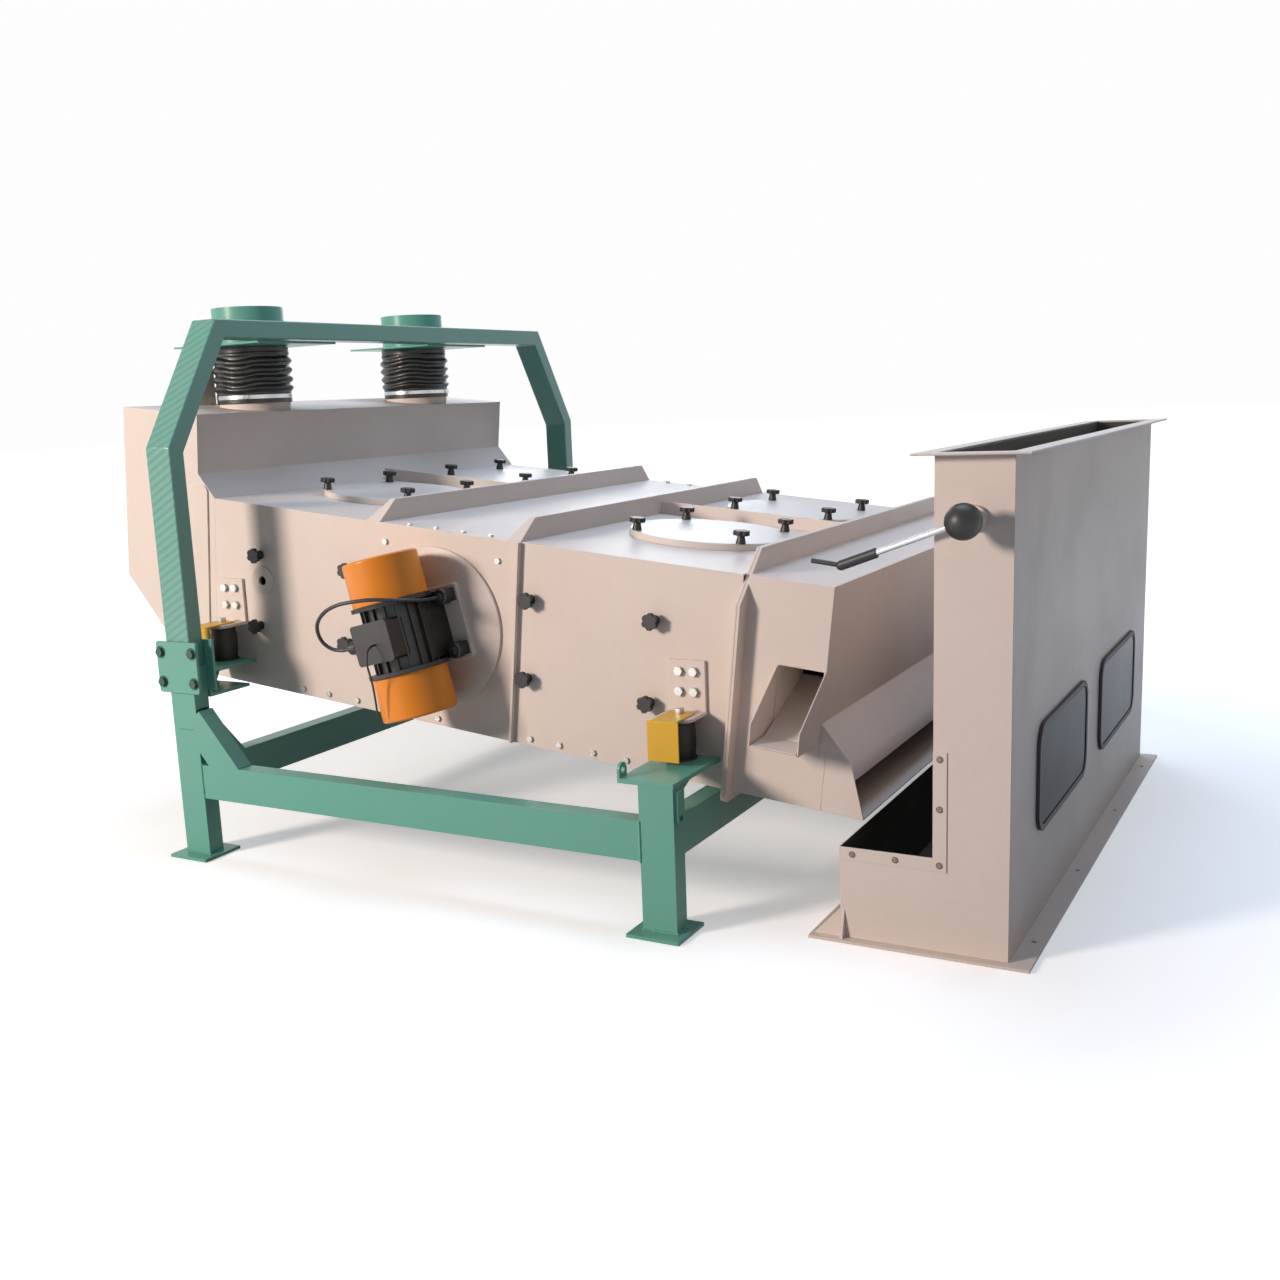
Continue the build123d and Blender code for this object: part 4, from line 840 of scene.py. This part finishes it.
# %% Geometry trees
class Growth(Board):
    """A Geometry Nodes tree with named sizes, built by a few plain calls."""

    kinds = {int: "NodeSocketInt", float: "NodeSocketFloat", tuple: "NodeSocketVector",
             bpy.types.Material: "NodeSocketMaterial"}

    def __init__(self, name, **sizes):
        super().__init__(bpy.data.node_groups.new(name, "GeometryNodeTree"))
        sockets = self.tree.interface
        sockets.new_socket("Geometry", in_out="INPUT", socket_type="NodeSocketGeometry")
        sockets.new_socket("Geometry", in_out="OUTPUT", socket_type="NodeSocketGeometry")
        self.names = {}
        for key, value in sizes.items():
            socket = sockets.new_socket(key, in_out="INPUT", socket_type=self.kinds[type(value)])
            socket.default_value = value
            self.names[key] = socket.identifier
        self.given = self.node("NodeGroupInput")

    def size(self, name):
        return self.given.outputs[name]

    def end(self, geometry):
        solid = self.node("GeometryNodeRealizeInstances", inputs={0: geometry})
        coated = self.node("GeometryNodeSetMaterial", inputs={
            "Geometry": solid.outputs[0], "Material": self.size("Material")})
        self.node("NodeGroupOutput", inputs={0: coated.outputs[0]})

    def grow(self, name, body, slot, places, links=(), **sizes):
        """Runs the tree on a mesh of places and joins the result to a body."""
        base = bpy.data.meshes.new(name)
        base.from_pydata(places, links, [])
        made = bpy.data.objects.new(name, base)
        bpy.context.scene.collection.objects.link(made)
        modifier = made.modifiers.new("grown", "NODES")
        modifier.node_group = self.tree
        for key, value in sizes.items():
            modifier[self.names[key]] = value
        graph = bpy.context.evaluated_depsgraph_get()
        mesh = bpy.data.meshes.new_from_object(made.evaluated_get(graph))
        made.modifiers.remove(modifier)
        made.data = mesh
        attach(made, body)
        return made


print("sizes can be", len(Growth.kinds), "kinds")

# %% [markdown]
# A washer lies under every bolt head of the splice plates. The solids already hold the heads,
# so the places are read from them: each separate shell that is as small as a head gives its
# middle, and the washers are instances of one thin disc turned to face the way the bolts do.

# %% Washer tree
washer_tree = Growth("washer", Radius=0.012, Thickness=0.0016, Facing=(0.0, -1.0, 0.0),
                     Material=zinc)
disc = washer_tree.node("GeometryNodeMeshCylinder", inputs={
    "Vertices": 28, "Radius": washer_tree.size("Radius"), "Depth": washer_tree.size("Thickness")})
facing_way = washer_tree.node("FunctionNodeAlignRotationToVector", {"axis": "Z"},
                              {"Vector": washer_tree.size("Facing")})
laid = washer_tree.node("GeometryNodeInstanceOnPoints", inputs={
    "Points": washer_tree.given.outputs[0], "Instance": disc.outputs[0],
    "Rotation": facing_way.outputs[0]})
washer_tree.end(laid.outputs[0])
print(len(washer_tree.tree.nodes), "nodes in the washer tree")

# %% Washers under bolt heads
head_height = 0.020       # no head stands out further
head_width = 0.050        # and none is wider
washer_rise = 0.0009      # middle of a washer above what it lies on
washer_radius = 0.019


def shells(node):
    """Lowest and highest corner of each separate shell in a solid's mesh, in order of place."""
    shape = bmesh.new()
    shape.from_mesh(frame["nodes"][node].data)
    bmesh.ops.remove_doubles(shape, verts=shape.verts, dist=weld_within)
    left = set(shape.verts)
    found = []
    while left:
        start = left.pop()
        group, edge = [start], [start]
        while edge:
            here = edge.pop()
            for link in here.link_edges:
                there = link.other_vert(here)
                if there in left:
                    left.remove(there)
                    group.append(there)
                    edge.append(there)
        low = Vector((min(v.co[i] for v in group) for i in range(3)))
        high = Vector((max(v.co[i] for v in group) for i in range(3)))
        found.append((low, high))
    shape.free()
    return sorted(found, key=lambda corners: tuple(corners[0]))


for side, way in (("near", -1), ("far", 1)):
    places = []
    for low, high in shells("splice_bolts"):
        size = high - low
        if way * (low.y + high.y) > 0 and size.y < head_height and size.x < head_width:
            seat = low.y if way > 0 else high.y
            places.append(((low.x + high.x) / 2, seat + way * washer_rise, (low.z + high.z) / 2))
    washer_tree.grow(f"splice_washers_{side}", "base", "steel", places, Radius=washer_radius,
                     Material=green_dark, Facing=(0.0, float(way), 0.0))
    print(len(places), "washers on the", side, "side")

# %% [markdown]
# The frame is welded, and at this distance a weld is a row of small overlapping ripples where
# two tubes meet. The tree walks along each line, drops a bead every few millimetres and
# swells each a little more or less, with a fixed seed.

# %% Weld bead tree
weld_tree = Growth("weld_bead", Pitch=0.006, Bead=0.0045, Seed=4, Material=green)
walked = weld_tree.node("GeometryNodeMeshToCurve", inputs={0: weld_tree.given.outputs[0]})
spaced = weld_tree.node("GeometryNodeResampleCurve", {"mode": "LENGTH"},
                        {0: walked.outputs[0], "Length": weld_tree.size("Pitch")})
ball = weld_tree.node("GeometryNodeMeshIcoSphere", inputs={"Radius": weld_tree.size("Bead"),
                                                           "Subdivisions": 2})
swell = weld_tree.node("FunctionNodeRandomValue", {"data_type": "FLOAT"}, {
    2: 0.75, 3: 1.15, "Seed": weld_tree.size("Seed")})
dropped = weld_tree.node("GeometryNodeInstanceOnPoints", inputs={
    "Points": spaced.outputs[0], "Instance": ball.outputs[0], "Scale": swell.outputs[1]})
weld_tree.end(dropped.outputs[0])
print(len(weld_tree.tree.nodes), "nodes in the weld tree")

# %% Where the frame is welded
frame_low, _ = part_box("base_frame")
post_w, post_d = 0.100, 0.058
rail_low, rail_high = 0.195, 0.303
foot_plate = 0.010
foot_reach = 0.076        # from a foot plate's edge to the middle of its post
post_span = 1.650         # between the inlet and outlet posts
leg_y = 1.154
inlet_x = frame_low.x + foot_reach
outlet_x = inlet_x + post_span


def tube_end(x, y, along_x, facing):
    """Four corners where a rail's end meets the face of a post."""
    corners = []
    for side, z in ((-1, rail_low), (1, rail_low), (1, rail_high), (-1, rail_high)):
        if along_x:
            corners.append((x + facing * post_w / 2, y + side * post_d / 2, z))
        else:
            corners.append((x + side * post_d / 2, y + facing * post_d / 2, z))
    return corners


def post_foot(x, y):
    """Four corners where a post stands on its foot plate."""
    return [(x + a * post_w / 2, y + b * post_d / 2, foot_plate)
            for a, b in ((-1, -1), (1, -1), (1, 1), (-1, 1))]


seams = []
for y in (-leg_y, leg_y):
    for x, facing in ((inlet_x, 1), (outlet_x, -1)):
        seams.append(tube_end(x, y, True, facing))
for x in (inlet_x, outlet_x):
    for y, facing in ((-leg_y, 1), (leg_y, -1)):
        seams.append(tube_end(x, y, False, facing))
        seams.append(post_foot(x, y))
print(len(seams), "seams")

# %% Weld beads
places, links = [], []
for corners in seams:
    start = len(places)
    places += corners
    links += [(start + i, start + (i + 1) % 4) for i in range(4)]
welds = weld_tree.grow("frame_welds", "base", "green", places, links)
print("weld triangles", sum(len(face.vertices) - 2 for face in welds.data.polygons))

# %% [markdown]
# The outlet box has a hand-run seam down its near side, below the discharge slot's end, and
# short stitches hold the side spout. They are laid in the sieve's own sloping frame.

# %% Seams of the outlet box
tilt = radians(6.2)
sieve_back = 0.147        # how far the sieve's foot is behind the inlet legs
sieve_height = 0.519
sieve_foot = Vector((inlet_x - sieve_back, 0, sieve_height))
side_y = -0.885


def on_sieve(u, w, y=side_y):
    """A place along and above the sieve's floor, in metres, as a place in the world."""
    return sieve_foot + Vector((u * cos(tilt) + w * sin(tilt), y, w * cos(tilt) - u * sin(tilt)))


stitches = [((2.138, 0.004), (2.138, 0.178)), ((1.982, 0.190), (1.982, 0.220)),
            ((1.982, 0.300), (1.982, 0.330)), ((2.030, 0.374), (2.060, 0.374))]
places, links = [], []
for start, stop in stitches:
    links.append((len(places), len(places) + 1))
    places += [on_sieve(*start), on_sieve(*stop)]
weld_tree.grow("outlet_seams", "sieve", "cream", places, links,
               Pitch=0.004, Bead=0.0017, Material=cream)
print(len(stitches), "runs of weld on the outlet box")

# %% [markdown]
# The side spout is folded sheet: two cheeks with a sloping front edge, a floor, and a chute
# that runs up inside the box so that grain slides out. It is made here from flat plates, with
# a flange under it that closes the opening, since the solid stands for it in a shorter form.
# The same helper closes two short slots in the inlet legs, which a welded tube doesn't have.

# %% Flat plates
plate_rounding = 0.0007


def plates(name, body, material, pieces):
    """Closed flat plates, each given by its outline and the way its thickness goes."""
    shape = bmesh.new()
    for outline, way in pieces:
        near = [shape.verts.new(place) for place in outline]
        far = [shape.verts.new(place + way) for place in outline]
        shape.faces.new(near)
        shape.faces.new(far[::-1])
        for index, (first, second) in enumerate(zip(near, near[1:] + near[:1])):
            after = (index + 1) % len(far)
            shape.faces.new((second, first, far[index], far[after]))
    bmesh.ops.recalc_face_normals(shape, faces=shape.faces)
    mesh = bpy.data.meshes.new(name)
    shape.to_mesh(mesh)
    shape.free()
    made = bpy.data.objects.new(name, mesh)
    bpy.context.scene.collection.objects.link(made)
    finish_with(made, material)
    bevel = made.modifiers.new("rounded", "BEVEL")
    bevel.width = plate_rounding
    bevel.segments = rounding_steps
    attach(made, body)
    return made


def rectangle(low_a, low_b, high_a, high_b):
    """Four corners of a rectangle, in order round it."""
    return ((low_a, low_b), (high_a, low_b), (high_a, high_b), (low_a, high_b))


print("plates are rounded by", plate_rounding * 1000, "mm")

# %% Folded side spout
spout_start, spout_end = 1.984, 2.120
spout_out, spout_in = -1.040, -0.700
spout_floor, spout_knee, spout_top = 0.182, 0.243, 0.370
spout_sheet = 0.003
guide_gap = 0.0002        # between a cheek and the guide plate beside it
chute_inset = 0.0065      # clear of a cheek and the guide plate beside it
chute_lip, chute_bend_rise, chute_rise = 0.004, 0.008, 0.125
chute_bend = -0.950
lower_flange = 0.145, 0.184   # lower and upper edge of the strip under the opening
stand_off = 0.0003        # keeps two faces from lying in one plane

along = on_sieve(spout_sheet, 0) - on_sieve(0, 0)
upright = on_sieve(0, spout_sheet) - on_sieve(0, 0)
cheek = ((side_y, spout_top), (spout_out, spout_knee), (spout_out, spout_floor),
         (side_y, spout_floor))
guide = rectangle(side_y, spout_floor, spout_in, spout_top)
floor_plate = ((spout_start, spout_out), (spout_end, spout_out), (spout_end, side_y),
               (spout_start, side_y))
folded = [([on_sieve(u, w, y) for y, w in cheek], along)
          for u in (spout_start, spout_end - spout_sheet)]
folded.append(([on_sieve(u, spout_floor, y) for u, y in floor_plate], upright))
slide = ((spout_out, spout_floor + chute_lip), (chute_bend, spout_floor + chute_bend_rise),
         (spout_in, spout_floor + chute_rise))
for (y0, w0), (y1, w1) in zip(slide, slide[1:]):
    left, other = spout_start + chute_inset, spout_end - chute_inset
    folded.append(([on_sieve(left, w0, y0), on_sieve(other, w0, y0),
                    on_sieve(other, w1, y1), on_sieve(left, w1, y1)], upright))
folded += [([on_sieve(u, w, y) for y, w in guide], along)
           for u in (spout_start + spout_sheet + guide_gap,
                     spout_end - 2 * spout_sheet - guide_gap)]
under = rectangle(spout_start, lower_flange[0], spout_end, lower_flange[1])
folded.append(([on_sieve(u, w, side_y - stand_off) for u, w in under],
               Vector((0, -spout_sheet, 0))))
spout = plates("side_spout_made", "sieve", cream, folded)
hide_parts("side_spout")
print(len(folded), "plates in the spout")

# %% Caps on the inlet legs
slot_half, slot_low, slot_high = 0.031, 0.412, 0.437
cap_sheet = 0.003

caps = []
for side in (-1, 1):
    face = side * (leg_y + post_d / 2 + stand_off)
    outline = rectangle(inlet_x - slot_half, slot_low, inlet_x + slot_half, slot_high)
    caps.append(([Vector((x, face, z)) for x, z in outline], Vector((0, -side * cap_sheet, 0))))
plates("leg_caps", "base", green, caps)
print(len(caps), "caps on the legs")

# %% [markdown]
# The floor is a wide pale sheet that glows more with distance, so that it melts into the sky
# instead of ending in a grey band. The camera and mirror-like surfaces see it nearly white,
# while to the light that falls on the object it is a cooler, darker grey.

# %% Floor
floor_mesh = bpy.data.meshes.new("floor")
reach = 60
floor_mesh.from_pydata([(x, y, 0) for x, y in rectangle(-reach, -reach, reach, reach)],
                       [], [(0, 1, 2, 3)])
floor = bpy.data.objects.new("floor", floor_mesh)
bpy.context.scene.collection.objects.link(floor)
floor_finish = Finish("pale_floor", **{"Roughness": 0.9, "Emission Strength": 1.0})
speckle = floor_finish.noise(3, 3)
away = Value(floor_finish, floor_finish.node("ShaderNodeVectorMath", {"operation": "LENGTH"}, {
    0: floor_finish.place}).outputs["Value"])
rays = floor_finish.node("ShaderNodeLightPath").outputs
looked_at = Value(floor_finish, rays["Is Camera Ray"])
looked_at = looked_at + Value(floor_finish, rays["Is Glossy Ray"])
looked_at = looked_at + Value(floor_finish, rays["Is Transmission Ray"])
glow = floor_finish.ramp(away * 0.1, (0.22, 0.36), (0.46, 0.95)) * looked_at
pale = floor_finish.mix(speckle * 0.3, tone(250, 250, 250), tone(244, 244, 244))
floor_finish.set(colour=floor_finish.mix(looked_at, tone(150, 153, 160), pale), glow=glow)
finish_with(floor, floor_finish.material)
print("floor", 2 * reach, "m wide")

# %% [markdown]
# The sky is two backgrounds. The weak, cool one lights the object, and the nearly white one is
# what the camera, reflections and glass see.

# %% Sky
world = bpy.data.worlds.new("sky")
world.use_nodes = True
bpy.context.scene.world = world
sky = Board(world.node_tree)
rays = sky.node("ShaderNodeLightPath").outputs
looked_at = Value(sky, rays["Is Camera Ray"]).most(Value(sky, rays["Is Glossy Ray"]))
looked_at = looked_at.most(Value(sky, rays["Is Transmission Ray"]))
lights, seen = (sky.node("ShaderNodeBackground", inputs={0: colour, 1: strength}).outputs[0]
                for colour, strength in (((0.80, 0.89, 1.0, 1), 0.17),
                                         ((0.985, 0.985, 0.985, 1), 1.0)))
both = sky.node("ShaderNodeMixShader", inputs={0: looked_at, 1: lights, 2: seen})
sky.node("ShaderNodeOutputWorld", inputs={0: both.outputs[0]})
bpy.context.scene.view_settings.view_transform = "Standard"
print(len(sky.tree.nodes), "nodes in the sky")
